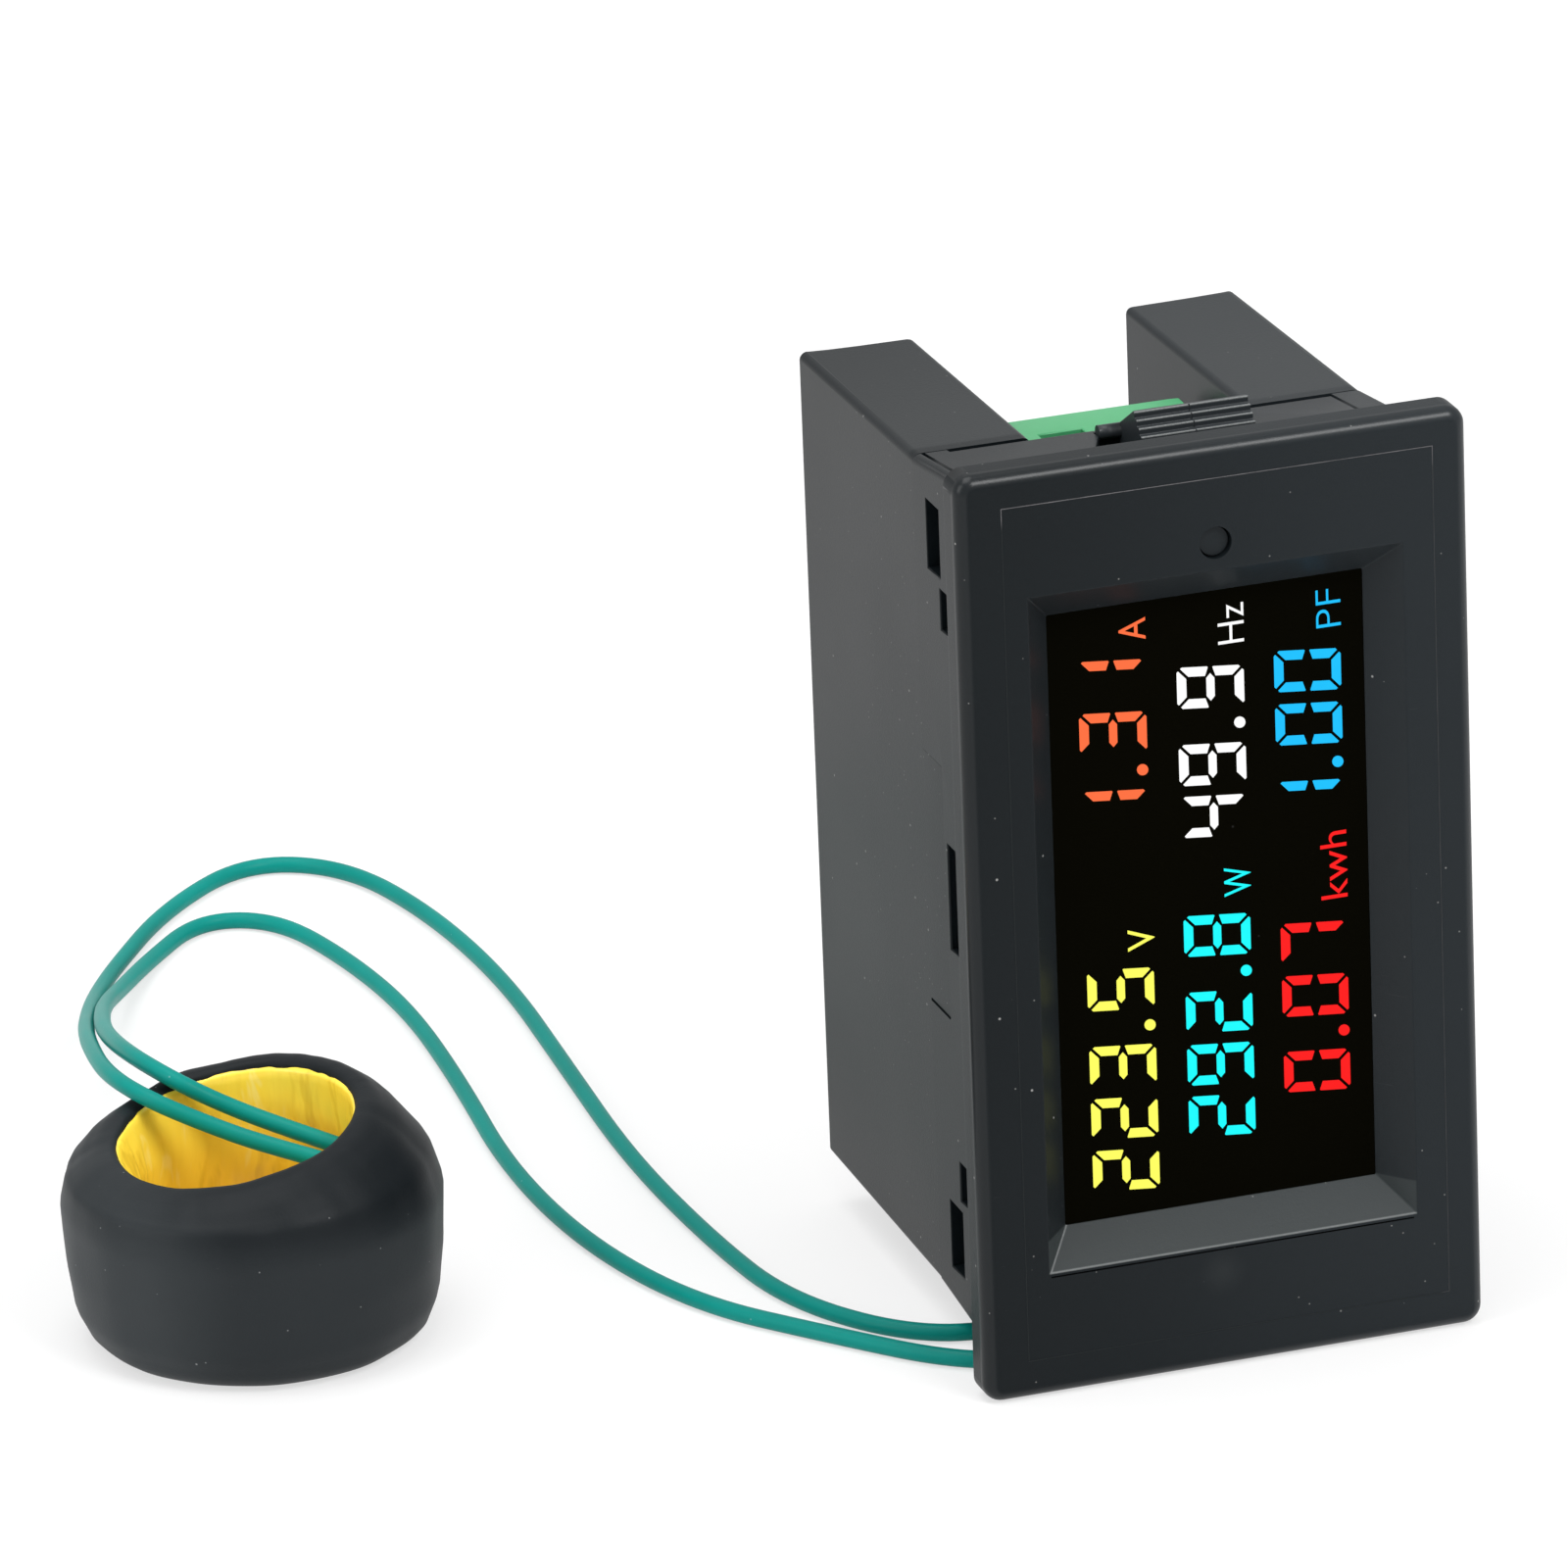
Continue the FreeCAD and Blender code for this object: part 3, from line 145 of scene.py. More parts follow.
class Plan(Nodes):
    """Geometry nodes whose sizes are named inputs"""

    def __init__(self, name, sizes):
        self.tree = bpy.data.node_groups.new(name, "GeometryNodeTree")
        self.sizes = sizes
        for label, value in sizes.items():
            kind = "NodeSocketInt" if isinstance(value, int) else "NodeSocketFloat"
            self.tree.interface.new_socket(name=label, in_out="INPUT", socket_type=kind)
        self.tree.interface.new_socket(name="Mesh", in_out="OUTPUT", socket_type="NodeSocketGeometry")
        self.given = self.tree.nodes.new("NodeGroupInput")

    def size(self, label):
        return Link(self, self.given.outputs[label])

    def mesh(self, shape, material):
        """Ends the tree and gives what it makes as a plain mesh"""
        real = self.node("GeometryNodeRealizeInstances", None, {0: shape})
        done = self.node("GeometryNodeSetMaterial", None, {"Geometry": real, "Material": material})
        out = self.tree.nodes.new("NodeGroupOutput")
        self.tree.links.new(done.socket, out.inputs[0])
        holder = held("holder", bpy.data.meshes.new("holder"))
        laid = holder.modifiers.new("laid", "NODES")
        laid.node_group = self.tree
        for socket in self.tree.interface.items_tree:
            if socket.in_out == "INPUT":
                laid[socket.identifier] = self.sizes[socket.name]
        return baked(holder)


class Finish(Nodes):
    """One procedural material"""

    def __init__(self, name):
        self.material = bpy.data.materials.new(name)
        self.material.use_nodes = True
        self.tree = self.material.node_tree
        self.tree.nodes.clear()
        self.out = self.tree.nodes.new("ShaderNodeOutputMaterial")

    def place(self, stretch=(1, 1, 1), turn=(0, 0, 0)):
        here = self.node("ShaderNodeTexCoord", output="Object")
        if stretch == (1, 1, 1) and turn == (0, 0, 0):
            return here
        return self.node("ShaderNodeMapping", None, {"Vector": here, "Scale": stretch, "Rotation": turn})

    def axis(self, index):
        """One object coordinate in metres: 0 across, 1 depth, 2 height"""
        return self.node("ShaderNodeSeparateXYZ", None, {0: self.place()}, index)

    def distance(self, spot_at):
        """How far a point is from a fixed one, in metres"""
        ends = {0: self.place(), 1: spot_at}
        return self.node("ShaderNodeVectorMath", {"operation": "DISTANCE"}, ends, "Value")

    def noise(self, per_metre, detail=3.0, rough=0.5, where=None, warp=0.0):
        inputs = {"Vector": where or self.place(), "Scale": per_metre, "Detail": detail, "Roughness": rough,
                  "Distortion": warp}
        return self.node("ShaderNodeTexNoise", None, inputs)

    def cells(self, per_metre, output=0):
        inputs = {"Vector": self.place(), "Scale": per_metre}
        return self.node("ShaderNodeTexVoronoi", None, inputs, output)

    def bands(self, direction, per_metre):
        inputs = {"Vector": self.place(), "Scale": per_metre, "Distortion": 0.4, "Detail": 1.0}
        return self.node("ShaderNodeTexWave", {"bands_direction": direction}, inputs)

    def specks(self, per_metre, radius, share):
        """Fine dust: a small dot in some cells of a random pattern"""
        chance = self.node("ShaderNodeSeparateColor", None, {0: self.cells(per_metre, "Color")}, 0)
        return self.cells(per_metre).below(radius, radius * 0.4) * chance.above(1 - share, 0.002)

    def blend(self, factor, first, second):
        pair = [colour if isinstance(colour, Link) else (*colour, 1.0) for colour in (first, second)]
        return self.node("ShaderNodeMix", {"data_type": "RGBA"}, {0: factor, 6: pair[0], 7: pair[1]}, 2)

    def bump(self, height, distance, strength=1.0, under=None):
        inputs = {"Height": height, "Distance": distance, "Strength": strength}
        if under:
            inputs["Normal"] = under
        return self.node("ShaderNodeBump", None, inputs)

    def show(self, shader):
        self.tree.links.new(shader.socket, self.out.inputs["Surface"])
        return self.material

    def shader(self, colour, rough, normal=None, **plain):
        inputs = {"Base Color": colour if isinstance(colour, Link) else (*colour, 1.0), "Roughness": rough}
        if normal:
            inputs["Normal"] = normal
        for key, value in plain.items():
            inputs[key.replace("_", " ").title().replace("Ior", "IOR")] = value
        return self.node("ShaderNodeBsdfPrincipled", None, inputs)

    def surface(self, *args, **plain):
        return self.show(self.shader(*args, **plain))


# Materials

# Each charcoal pair runs from painted shade on a part's left to painted light on its right
CHARCOAL_SHADED_TO_LIT = ((0.0030, 0.0050, 0.0062), (0.0140, 0.0180, 0.0210))
CLIP_CHARCOAL_SHADED_TO_LIT = ((0.0170, 0.0210, 0.0240), (0.0230, 0.0275, 0.0310))
SLOPE_GREY = (0.040, 0.044, 0.046)
# Painted light on the recess's lower slope and painted highlights on its edges
SILL_PAINTED_LIGHT_GREY = (0.040, 0.047, 0.048)
LIP_PAINTED_HIGHLIGHT_GREY = (0.20, 0.21, 0.21)
# Painted light for the horns' tops
HORN_TOP_LIGHT_GREY = (0.046, 0.050, 0.052)
# Painted highlight for the clips' rib ridges
RIDGE_HIGHLIGHT_GREY = (0.22, 0.23, 0.23)
SMUDGE_GREY = (0.075, 0.08, 0.08)
SCRATCH_GREY = (0.07, 0.075, 0.078)
DUST_GREY = (0.34, 0.34, 0.33)

# Places on the housing that its material knows, in metres like the object coordinates
RECESS_SIDES = (-0.0161, 0.0158)
RECESS_ENDS = (0.01048, 0.0685)
RECESS_DEPTHS = (-0.02319, -0.0190)
SILL_TOP = 0.01348
LIP_TOP = 0.01074
MITRE_CORNER = (-0.0133, 0.01345)
MITRE_SLANT = 0.8947
HORN_START = -0.0045
HORN_HEIGHT = 0.0750
CLIP_WEDGE = 0.09009
SMUDGE_SPOT = (-0.0011, -0.0232, 0.0084)
RIM_SIDE = 0.0202
RIM_ENDS = (0.0013, 0.0777)
RIM_DEPTHS = (-0.0232, -0.0220)


def moulded_charcoal(name, pair, see, ridge_highlight_share=0.0):
    """Dark housing plastic with painted shade on its left and painted light on its right; the recess's
    slopes are a little paler, with painted light on the lower slope and painted highlights on its edges, and
    there is painted light on the horns' tops and painted highlights on the clips' rib ridges
    """
    f = Finish(name)
    grain = f.noise(5200, 3.0, 0.6)
    cloud = f.noise(38)
    flow = f.noise(9, 2.0, 0.5, f.place((1, 1, 3)))
    scratch = f.noise(260, 2.0, 0.5, f.place((1, 1, 26), (0.5, 0.35, 0.8)), 0.4).above(0.78, 0.012)
    dust = f.specks(420, 0.042, 0.30) + f.specks(1100, 0.07, 0.10) * 0.6
    dust_cover = dust.at_most(1.0)
    across, deep, up = (f.axis(index) for index in range(3))
    front = deep.below(RECESS_DEPTHS[1], 0.0005)

    # The recess of the display: its slopes, a little paler; the lower one, with painted light, and that
    # one's edges, with painted highlights
    between_sides = across.between(*RECESS_SIDES, 0.0001)
    between_ends = up.above(RECESS_ENDS[0], 0.00004) * up.below(RECESS_ENDS[1], 0.0001)
    recess = between_sides * between_ends * deep.above(RECESS_DEPTHS[0], 0.00004) * front
    sill = recess * up.below(SILL_TOP, 0.0001)
    mitre = across - MITRE_CORNER[0] + (MITRE_CORNER[1] - up) * MITRE_SLANT
    lip = (mitre.between(-0.00002, 0.00016, 0.00008) + up.below(LIP_TOP, 0.00006)).at_most(1.0) * sill

    # Painted light on the horns' tops, which face the lamps above
    lit_horn_tops = up.above(HORN_HEIGHT, 0.0006) * deep.above(HORN_START, 0.0003)
    # Painted highlights along the clips' rib ridges
    ridge_highlight = (deep - up + CLIP_WEDGE).below(0.00012, 0.00006)
    smudge = f.distance(SMUDGE_SPOT).below(0.0011, 0.0013) * (scratch + cloud * 0.22) * front

    # Painted shade on the left and painted light on the right across the part, with a little random tone
    tone = f.blend(across.above(0.0, 0.026) * 0.75 + cloud * 0.15 + flow * 0.1, *pair)
    # Blended in turn: paler slopes, painted light on the lower slope and horns' tops, painted highlights on
    # the slope's edges and rib ridges, then smudge, scratches and dust
    for share, grey in ((recess * 0.16, SLOPE_GREY), (sill * (0.66 + cloud * 0.12), SILL_PAINTED_LIGHT_GREY),
                        (lip * (0.45 + grain * 0.4), LIP_PAINTED_HIGHLIGHT_GREY), (lit_horn_tops * 0.40, HORN_TOP_LIGHT_GREY),
                        (ridge_highlight * (0.3 + grain) * ridge_highlight_share, RIDGE_HIGHLIGHT_GREY), (smudge, SMUDGE_GREY),
                        (scratch * 0.25, SCRATCH_GREY), (dust_cover * 0.75, DUST_GREY)):
        tone = f.blend(share, tone, grey)

    # The bezel's rounded rim is a little glossier than its face
    sides = across.above(RIM_SIDE, 0.0002) + across.below(-RIM_SIDE, 0.0002)
    rim = sides + up.above(RIM_ENDS[1], 0.0002) + up.below(RIM_ENDS[0], 0.0002)
    polished = rim.at_most(1.0) * deep.above(RIM_DEPTHS[0], 0.00004) * deep.below(RIM_DEPTHS[1], 0.0001)
    rough = 0.31 + cloud * 0.08 + grain * 0.05 + dust_cover * 0.3
    normal = f.bump(grain + dust * 0.5, 0.00003, 0.4)
    return f.surface(tone, rough, normal, specular_ior_level=see, coat_weight=polished * 0.28,
                     coat_roughness=0.24)


def matt_plastic(name, dark, light, rough=0.45, see=0.5):
    f = Finish(name)
    grain = f.noise(4000, 3.0, 0.6)
    cloud = f.noise(160, 3.0, 0.55)
    dust = f.specks(900, 0.07, 0.12)
    tone = f.blend(dust * 0.5, f.blend(cloud, dark, light), (0.7, 0.7, 0.68))
    rough = rough + cloud * 0.10 + dust * 0.2
    return f.surface(tone, rough, f.bump(grain, 0.00002, 0.5), specular_ior_level=see)


def terminal_plastic(name, dark, light):
    f = Finish(name)
    cloud = f.noise(220)
    flow = f.noise(70, 2.0, 0.5, f.place((1, 3, 1)))
    grain = f.noise(5000, 2.0, 0.6)
    tone = f.blend(cloud * 0.5 + flow * 0.5, dark, light)
    return f.surface(tone, 0.34 + cloud * 0.14, f.bump(grain, 0.00002, 0.4), subsurface_weight=0.12,
                     subsurface_radius=(0.001, 0.001, 0.001), specular_ior_level=0.5)


def plated(name, dark, light, rough):
    f = Finish(name)
    brushed = f.noise(900, 3.0, 0.6, f.place((1, 9, 1)))
    stain = f.noise(450, 4.0, 0.6)
    rough = rough + stain * 0.2 + brushed * 0.08
    return f.surface(f.blend(stain, dark, light), rough, f.bump(brushed, 0.00002, 0.35), metallic=1.0)


def board_laminate():
    f = Finish("board_laminate")
    weave = f.bands("X", 420.0) + f.bands("Z", 420.0)
    patch = f.cells(330).above(0.42, 0.02)
    tone = f.blend(patch, (0.018, 0.135, 0.05), (0.03, 0.20, 0.08))
    faint = f.blend(weave * 0.12, tone, (0.10, 0.32, 0.16))
    return f.surface(faint, 0.3 + patch * 0.1, f.bump(weave, 0.00003, 0.3))


def display_black():
    f = Finish("display_black")
    smear = f.noise(90, 4.0, 0.6, None, 0.6)
    dust = f.specks(500, 0.05, 0.08)
    tone = f.blend(dust * 0.06, (0.0022, 0.0020, 0.0010), (0.2, 0.2, 0.2))
    return f.surface(tone, 0.12 + smear * 0.14 + dust * 0.3, specular_ior_level=0.0)


def lit(name, colour):
    """A lit display segment, a little uneven in its brightness"""
    f = Finish(name)
    tone = f.blend(f.noise(1500, 2.0, 0.5), tuple(channel * 0.93 for channel in colour), colour)
    return f.surface((0.01, 0.01, 0.01), 0.3, specular_ior_level=0.05, emission_color=tone,
                     emission_strength=1.04)


def clear_plastic(name, dark, light, rough):
    f = Finish(name)
    cloud = f.noise(300)
    return f.surface(f.blend(cloud, dark, light), rough + cloud * 0.1, f.bump(cloud, 0.00002, 0.2))


def shrink_sleeve():
    """The transformer's sleeve, with painted light on its left and paler low down"""
    f = Finish("shrink_sleeve")
    cloud = f.noise(55, 4.0, 0.55)
    pull = f.noise(140, 3.0, 0.5, f.place((1, 1, 0.22)))
    grain = f.noise(4200, 3.0, 0.6)
    dust = f.specks(330, 0.036, 0.30) + f.specks(950, 0.06, 0.10) * 0.6
    # Painted light on the sleeve's left side, and paler low down
    painted_left_light_and_paler_low = f.axis(0).below(-0.080, 0.004) * 0.55 + f.axis(2).below(0.0125, 0.002) * 0.45
    share = painted_left_light_and_paler_low * (0.72 + cloud * 0.5) + pull * 0.10
    tone = f.blend(share, (0.0040, 0.0062, 0.0080), (0.0270, 0.0320, 0.0350))
    dusty = f.blend(dust.at_most(1.0) * 0.7, tone, (0.34, 0.35, 0.35))
    normal = f.bump(grain + dust, 0.00003, 0.5, f.bump(pull, 0.0003, 0.2))
    return f.surface(dusty, 0.42 + cloud * 0.12 + grain * 0.05, normal, specular_ior_level=0.16)


def insulating_tape():
    """The transformer's tape, with painted light at its top, painted amber shade deep inside, painted shade
    in its folds and painted highlights high up
    """
    f = Finish("insulating_tape")
    cloud = f.noise(120, 4.0, 0.6, None, 0.5)
    crease = f.noise(420, 3.0, 0.6, f.place((1, 1, 0.25)), 0.8)
    streak = f.noise(700, 2.0, 0.5, f.place((1, 1, 0.08)), 0.5)
    near_top = f.axis(2).above(0.0105, 0.0065)
    # Painted light at the top and painted amber shade lower down
    painted_lit_yellow = f.blend(cloud, (0.97, 0.66, 0.040), (1.00, 0.80, 0.095))
    painted_shade_amber = f.blend(cloud, (0.82, 0.44, 0.012), (0.94, 0.58, 0.030))
    tone = f.blend(near_top, painted_shade_amber, painted_lit_yellow)
    # Painted shade in the tape's creases and along its streaks
    painted_fold_shade = crease.above(0.60, 0.08) * 0.4 + streak.above(0.66, 0.06) * 0.1
    tone = f.blend(painted_fold_shade, tone, (0.62, 0.36, 0.012))
    # Painted highlights: pale glossy patches high up
    tone = f.blend(crease.below(0.36, 0.05) * near_top * 0.35, tone, (1.0, 0.88, 0.36))
    normal = f.bump(crease + streak * 0.3, 0.00022, 0.4)
    return f.surface(tone, 0.16 + cloud * 0.16, normal, specular_ior_level=0.5)


def lead_insulation():
    f = Finish("lead_insulation")
    cloud = f.noise(130)
    grain = f.noise(2600, 3.0, 0.6)
    dust = f.specks(800, 0.06, 0.15)
    tone = f.blend(cloud, (0.0000, 0.185, 0.155), (0.0010, 0.248, 0.214))
    dusty = f.blend(dust * 0.3, tone, (0.4, 0.55, 0.53))
    return f.surface(dusty, 0.36 + cloud * 0.12, f.bump(grain, 0.00003, 0.4), specular_ior_level=0.12)


def label_stock():
    f = Finish("label_stock")
    fibre = f.noise(1600, 4.0, 0.6)
    tone = f.blend(f.noise(70), (0.70, 0.73, 0.69), (0.77, 0.79, 0.75))
    return f.surface(tone, 0.40 + fibre * 0.12, f.bump(fibre, 0.00003, 0.25))


def film_hairline():
    """The clear film's edge, which catches light at its top and faintly at its right"""
    f = Finish("film_edge")
    patchy = f.noise(500, 3.0, 0.6)
    caught = (f.axis(2).above(0.0748, 0.0006) * 0.9 + f.axis(0).above(0.0178, 0.0003) * 0.2).at_most(1.0)
    tone = f.blend(patchy * caught, (0.007, 0.010, 0.011), (0.22, 0.21, 0.22))
    return f.surface(tone, 0.3 + patchy * 0.2, specular_ior_level=0.22)


def pale_floor():
    """A white ground to the eye, which keeps a soft shadow"""
    f = Finish("pale_floor")
    tone = f.blend(f.noise(6), (0.84, 0.84, 0.84), (0.87, 0.87, 0.87))
    plain = f.shader(tone, 0.8, specular_ior_level=0.1)
    white = f.node("ShaderNodeEmission", None, {"Color": (1, 1, 1, 1), "Strength": 1.0})
    seen = sum(f.node("ShaderNodeLightPath", output=ray)
               for ray in ("Is Camera Ray", "Is Glossy Ray", "Is Transmission Ray")).at_most(1.0)
    return f.show(f.node("ShaderNodeMixShader", None, {0: seen * 0.62, 1: plain, 2: white}))


black_screen = display_black()
finishes = {
    "charcoal_plastic": moulded_charcoal("moulded_charcoal_plastic", CHARCOAL_SHADED_TO_LIT, 0.13),
    "button_plastic": matt_plastic("button_plastic", (0.009, 0.012, 0.014), (0.013, 0.0165, 0.019),
                                   0.34, 0.13),
    "black_plastic": matt_plastic("black_plastic", (0.010, 0.010, 0.011), (0.018, 0.018, 0.019), see=0.3),
    "white_plastic": matt_plastic("white_plastic", (0.62, 0.60, 0.52), (0.72, 0.70, 0.63)),
    "yellow_plastic": matt_plastic("yellow_plastic", (0.66, 0.40, 0.02), (0.78, 0.52, 0.04), 0.3),
    "green_plastic": terminal_plastic("green_plastic", (0.040, 0.28, 0.105), (0.075, 0.37, 0.165)),
    "blue_plastic": terminal_plastic("blue_plastic", (0.02, 0.20, 0.55), (0.045, 0.30, 0.70)),
    "window_sheet": black_screen,
    "display_glass": black_screen,
    "film": clear_plastic("colour_film", (0.62, 0.60, 0.55), (0.72, 0.71, 0.66), 0.3),
    "light_guide": clear_plastic("light_guide_plastic", (0.70, 0.74, 0.74), (0.80, 0.82, 0.82), 0.15),
    "board_laminate": board_laminate(),
    "capacitor_can": matt_plastic("capacitor_sleeve", (0.014, 0.016, 0.03), (0.022, 0.026, 0.045), 0.28),
    "tinned_metal": plated("tinned_metal", (0.50, 0.50, 0.49), (0.68, 0.68, 0.66), 0.22),
    "plated_steel": plated("plated_steel", (0.48, 0.48, 0.47), (0.66, 0.66, 0.64), 0.2),
    "core_steel": plated("core_steel", (0.12, 0.12, 0.13), (0.2, 0.2, 0.21), 0.4),
    "copper": plated("copper_wire", (0.60, 0.22, 0.10), (0.78, 0.36, 0.18), 0.22),
    "label_stock": label_stock(),
    "yellow_tape": insulating_tape(),
    "sleeve_rubber": shrink_sleeve(),
    "lead_insulation": lead_insulation(),
}
slots = {row["node"]: row["material_slot"] for row in frame["record"]["subparts"]}
for name, node in frame["nodes"].items():
    node.data.materials.clear()
    node.data.materials.append(finishes[slots[name]])


# Making pieces

def drawn(work, name, turn_out=True):
    """The mesh of a bmesh, with its faces turned outwards"""
    if turn_out:
        bmesh.ops.recalc_face_normals(work, faces=work.faces)
    mesh = bpy.data.meshes.new(name)
    work.to_mesh(mesh)
    work.free()
    return mesh


def held(name, data):
    """A plain object in the scene"""
    made = bpy.data.objects.new(name, data)
    scene.collection.objects.link(made)
    return made


def baked(holder):
    """The plain mesh of an object with its modifiers done"""
    bpy.context.view_layer.update()
    seen = holder.evaluated_get(bpy.context.evaluated_depsgraph_get())
    mesh = bpy.data.meshes.new_from_object(seen)
    bpy.data.objects.remove(holder)
    return mesh


def smoothed(mesh, sharp_from):
    """Smooth shading up to a corner angle in degrees"""
    mesh.shade_smooth()
    mesh.set_sharp_from_angle(angle=math.radians(sharp_from))
    return mesh


def piece(name, mesh, finish, body="meter", instead_of=None):
    """A finished object that rides on a body and may replace a CAD node"""
    made = held(name, mesh)
    mesh.materials.clear()
    mesh.materials.append(finish)
    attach(made, body)
    if instead_of:
        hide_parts(instead_of)
    return made


def loop_faces(work, first, second):
    """The faces between two closed rows of corners"""
    for here, after in zip(range(len(first)), [*range(1, len(first)), 0]):
        work.faces.new((first[here], first[after], second[after], second[here]))


# Leads

LEAD_OUTER = (
    (-62.1, 35.6, 13.7), (-69.1, 40.9, 15.2), (-73.6, 44.5, 16.7), (-77.8, 46.5, 18.8),
    (-79.2, 53.2, 18.7), (-76.9, 66.9, 15.6), (-73.4, 81.8, 11.0), (-69.2, 97.1, 6.2),
    (-64.9, 110.6, 2.4), (-60.6, 120.3, 0.73), (-52.9, 131.8, 0.73), (-43.0, 140.4, 0.73),
    (-34.8, 135.6, 0.73), (-31.2, 121.5, 0.73), (-29.9, 103.0, 0.73), (-31.1, 82.0, 0.73),
    (-32.4, 60.0, 0.73), (-31.6, 40.0, 0.73), (-29.8, 25.6, 0.73), (-22.9, 14.7, 0.73),
    (-14.4, 12.6, 0.73), (-8.6, 16.2, 0.73), (-5.0, 21.2, 0.73), (-POLE_X, 24.95, 3.2),
    (-POLE_X, 24.95, 7.1))
LEAD_INNER = (
    (-61.3, 38.7, 13.9), (-67.0, 44.0, 15.4), (-71.4, 47.2, 17.1), (-75.2, 48.3, 19.5),
    (-76.8, 55.3, 19.4), (-75.1, 68.4, 15.9), (-71.6, 83.3, 11.2), (-67.3, 98.7, 6.2),
    (-62.9, 110.6, 2.4), (-57.6, 120.4, 0.73), (-50.8, 128.2, 0.73), (-44.2, 125.6, 0.73),
    (-41.2, 114.0, 0.73), (-39.7, 100.0, 0.73), (-40.6, 82.0, 0.73), (-42.5, 62.0, 0.73),
    (-41.4, 43.5, 0.73), (-37.0, 28.0, 0.73), (-29.0, 17.6, 0.73), (-21.4, 8.4, 0.73),
    (-14.2, 5.8, 0.73), (-7.9, 9.3, 0.73), (-5.0, 15.2, 0.73), (-0.6, 19.8, 0.73),
    (2.8, 22.4, 0.73), (POLE_X, 24.95, 3.2), (POLE_X, 24.95, 7.1))


def lead(node_name, route):
    """An insulated wire along a route that the CAD follows too"""
    line = bpy.data.curves.new(node_name + "_wire", "CURVE")
    line.dimensions = "3D"
    line.resolution_u = 10
    line.bevel_depth = LEAD_R * MM
    line.bevel_resolution = 6
    line.use_fill_caps = True
    spline = line.splines.new("NURBS")
    spline.points.add(len(route) - 1)
    for point, (x, depth, z) in zip(spline.points, route):
        point.co = (*spot(x, depth, z), 1.0)
    spline.order_u = 3
    spline.use_endpoint_u = True
    made = held(node_name + "_wire", line)
    line.materials.append(finishes["lead_insulation"])
    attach(made, "meter")
    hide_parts(node_name)
    tuple(spot(*route[-1]))


# Ring current transformer: an inner ring wound with tape, in a shrunk sleeve

CT_X, CT_D = -70.85, 39.7
LIP_SHIFT = -1.2
LIP_TILT = (0.17, 0.07)
LIP_R = 10.2
TAPE_LAPS = 13
TAPE_LAP_SLANT = 0.02
WIRE_R = 0.26
WINDING_R = 11.95
WINDING_HALF_W = 1.45
WINDING_HALF_H = 4.95
CORE_CORNER = 1.35
CORE_MIDDLE_Z = 7.3


def turned_ring(name, section, steps, shape, slot, instead_of):
    """A closed section of (radius, height, share of the lip's tilt) swept round the transformer's axis"""
    work = bmesh.new()
    rings = []
    for step in range(steps):
        angle = 2 * math.pi * step / steps
        out = Vector((math.cos(angle), math.sin(angle), 0))
        ring = []
        for radius, height, share in section:
            push, lift = shape(angle, radius, height)
            lean = radius * (out.x * LIP_TILT[0] + out.y * LIP_TILT[1]) * share
            middle = Vector((CT_X + LIP_SHIFT * share, CT_D + FRONT_Y, height + lean + lift))
            ring.append(work.verts.new((out * (radius + push) + middle) * MM))
        rings.append(ring)
    for ring, following in zip(rings, rings[1:] + rings[:1]):
        loop_faces(work, ring, following)
    return piece(name, smoothed(drawn(work, name), 180), finishes[slot], instead_of=instead_of)


def along(points, spacing):
    """Points every so often on the runs between section points"""
    out = []
    for first, second in zip(points, points[1:]):
        steps = max(1, round(math.dist(first[:2], second[:2]) / spacing))
        for step in range(steps):
            share = step / steps
            out.append(tuple(a + (b - a) * share for a, b in zip(first, second)))
    return out + [points[-1]]


def rounded(points):
    """A closed section with its corners cut once"""
    cut = []
    for first, second in zip(points, points[1:] + points[:1]):
        cut.append(tuple(0.75 * a + 0.25 * b for a, b in zip(first, second)))
        cut.append(tuple(0.25 * a + 0.75 * b for a, b in zip(first, second)))
    return cut


# Sections in radius, height and the share of the lip's tilt and shift
SLEEVE_SECTION = [
    (9.9, 1.2, 0.0), (10.1, 0.15, 0.0), (12.7, 0.0, 0.0), (14.1, 1.0, 0.0), (15.1, 3.2, 0.0),
    (15.5, 7.0, 0.0), (15.6, 12.0, 0.0), (14.9, 14.8, 0.2), (13.1, 16.9, 0.75), (11.4, 18.05, 1.0),
    (10.2, 18.3, 1.0), (9.75, 17.9, 1.0), (9.85, 17.0, 0.9), (10.7, 17.0, 0.9), (13.9, 13.7, 0.2),
    (14.6, 12.0, 0.0), (14.7, 3.0, 0.0), (13.6, 1.4, 0.0)]
TAPE_SECTION = [
    (9.42, 1.7, 0.0), (9.40, 7.0, 0.0), (9.40, 12.7, 0.0), (9.42, 15.2, 0.5), (9.60, 17.4, 0.95),
    (9.85, 17.7, 1.0), (10.6, 17.2, 1.0), (14.3, 13.1, 0.1), (14.4, 2.8, 0.0), (13.6, 1.7, 0.0)]
PRESSED_AT = (2.20, 1.93)


def clamped(value, least=0):
    return min(max(value, least), 1)


def near_angle(angle, middle, width):
    """1 at an angle round the ring, falling off over a width"""
    away = (angle - middle + math.pi) % (2 * math.pi) - math.pi
    return math.exp(-(away / width) ** 2)


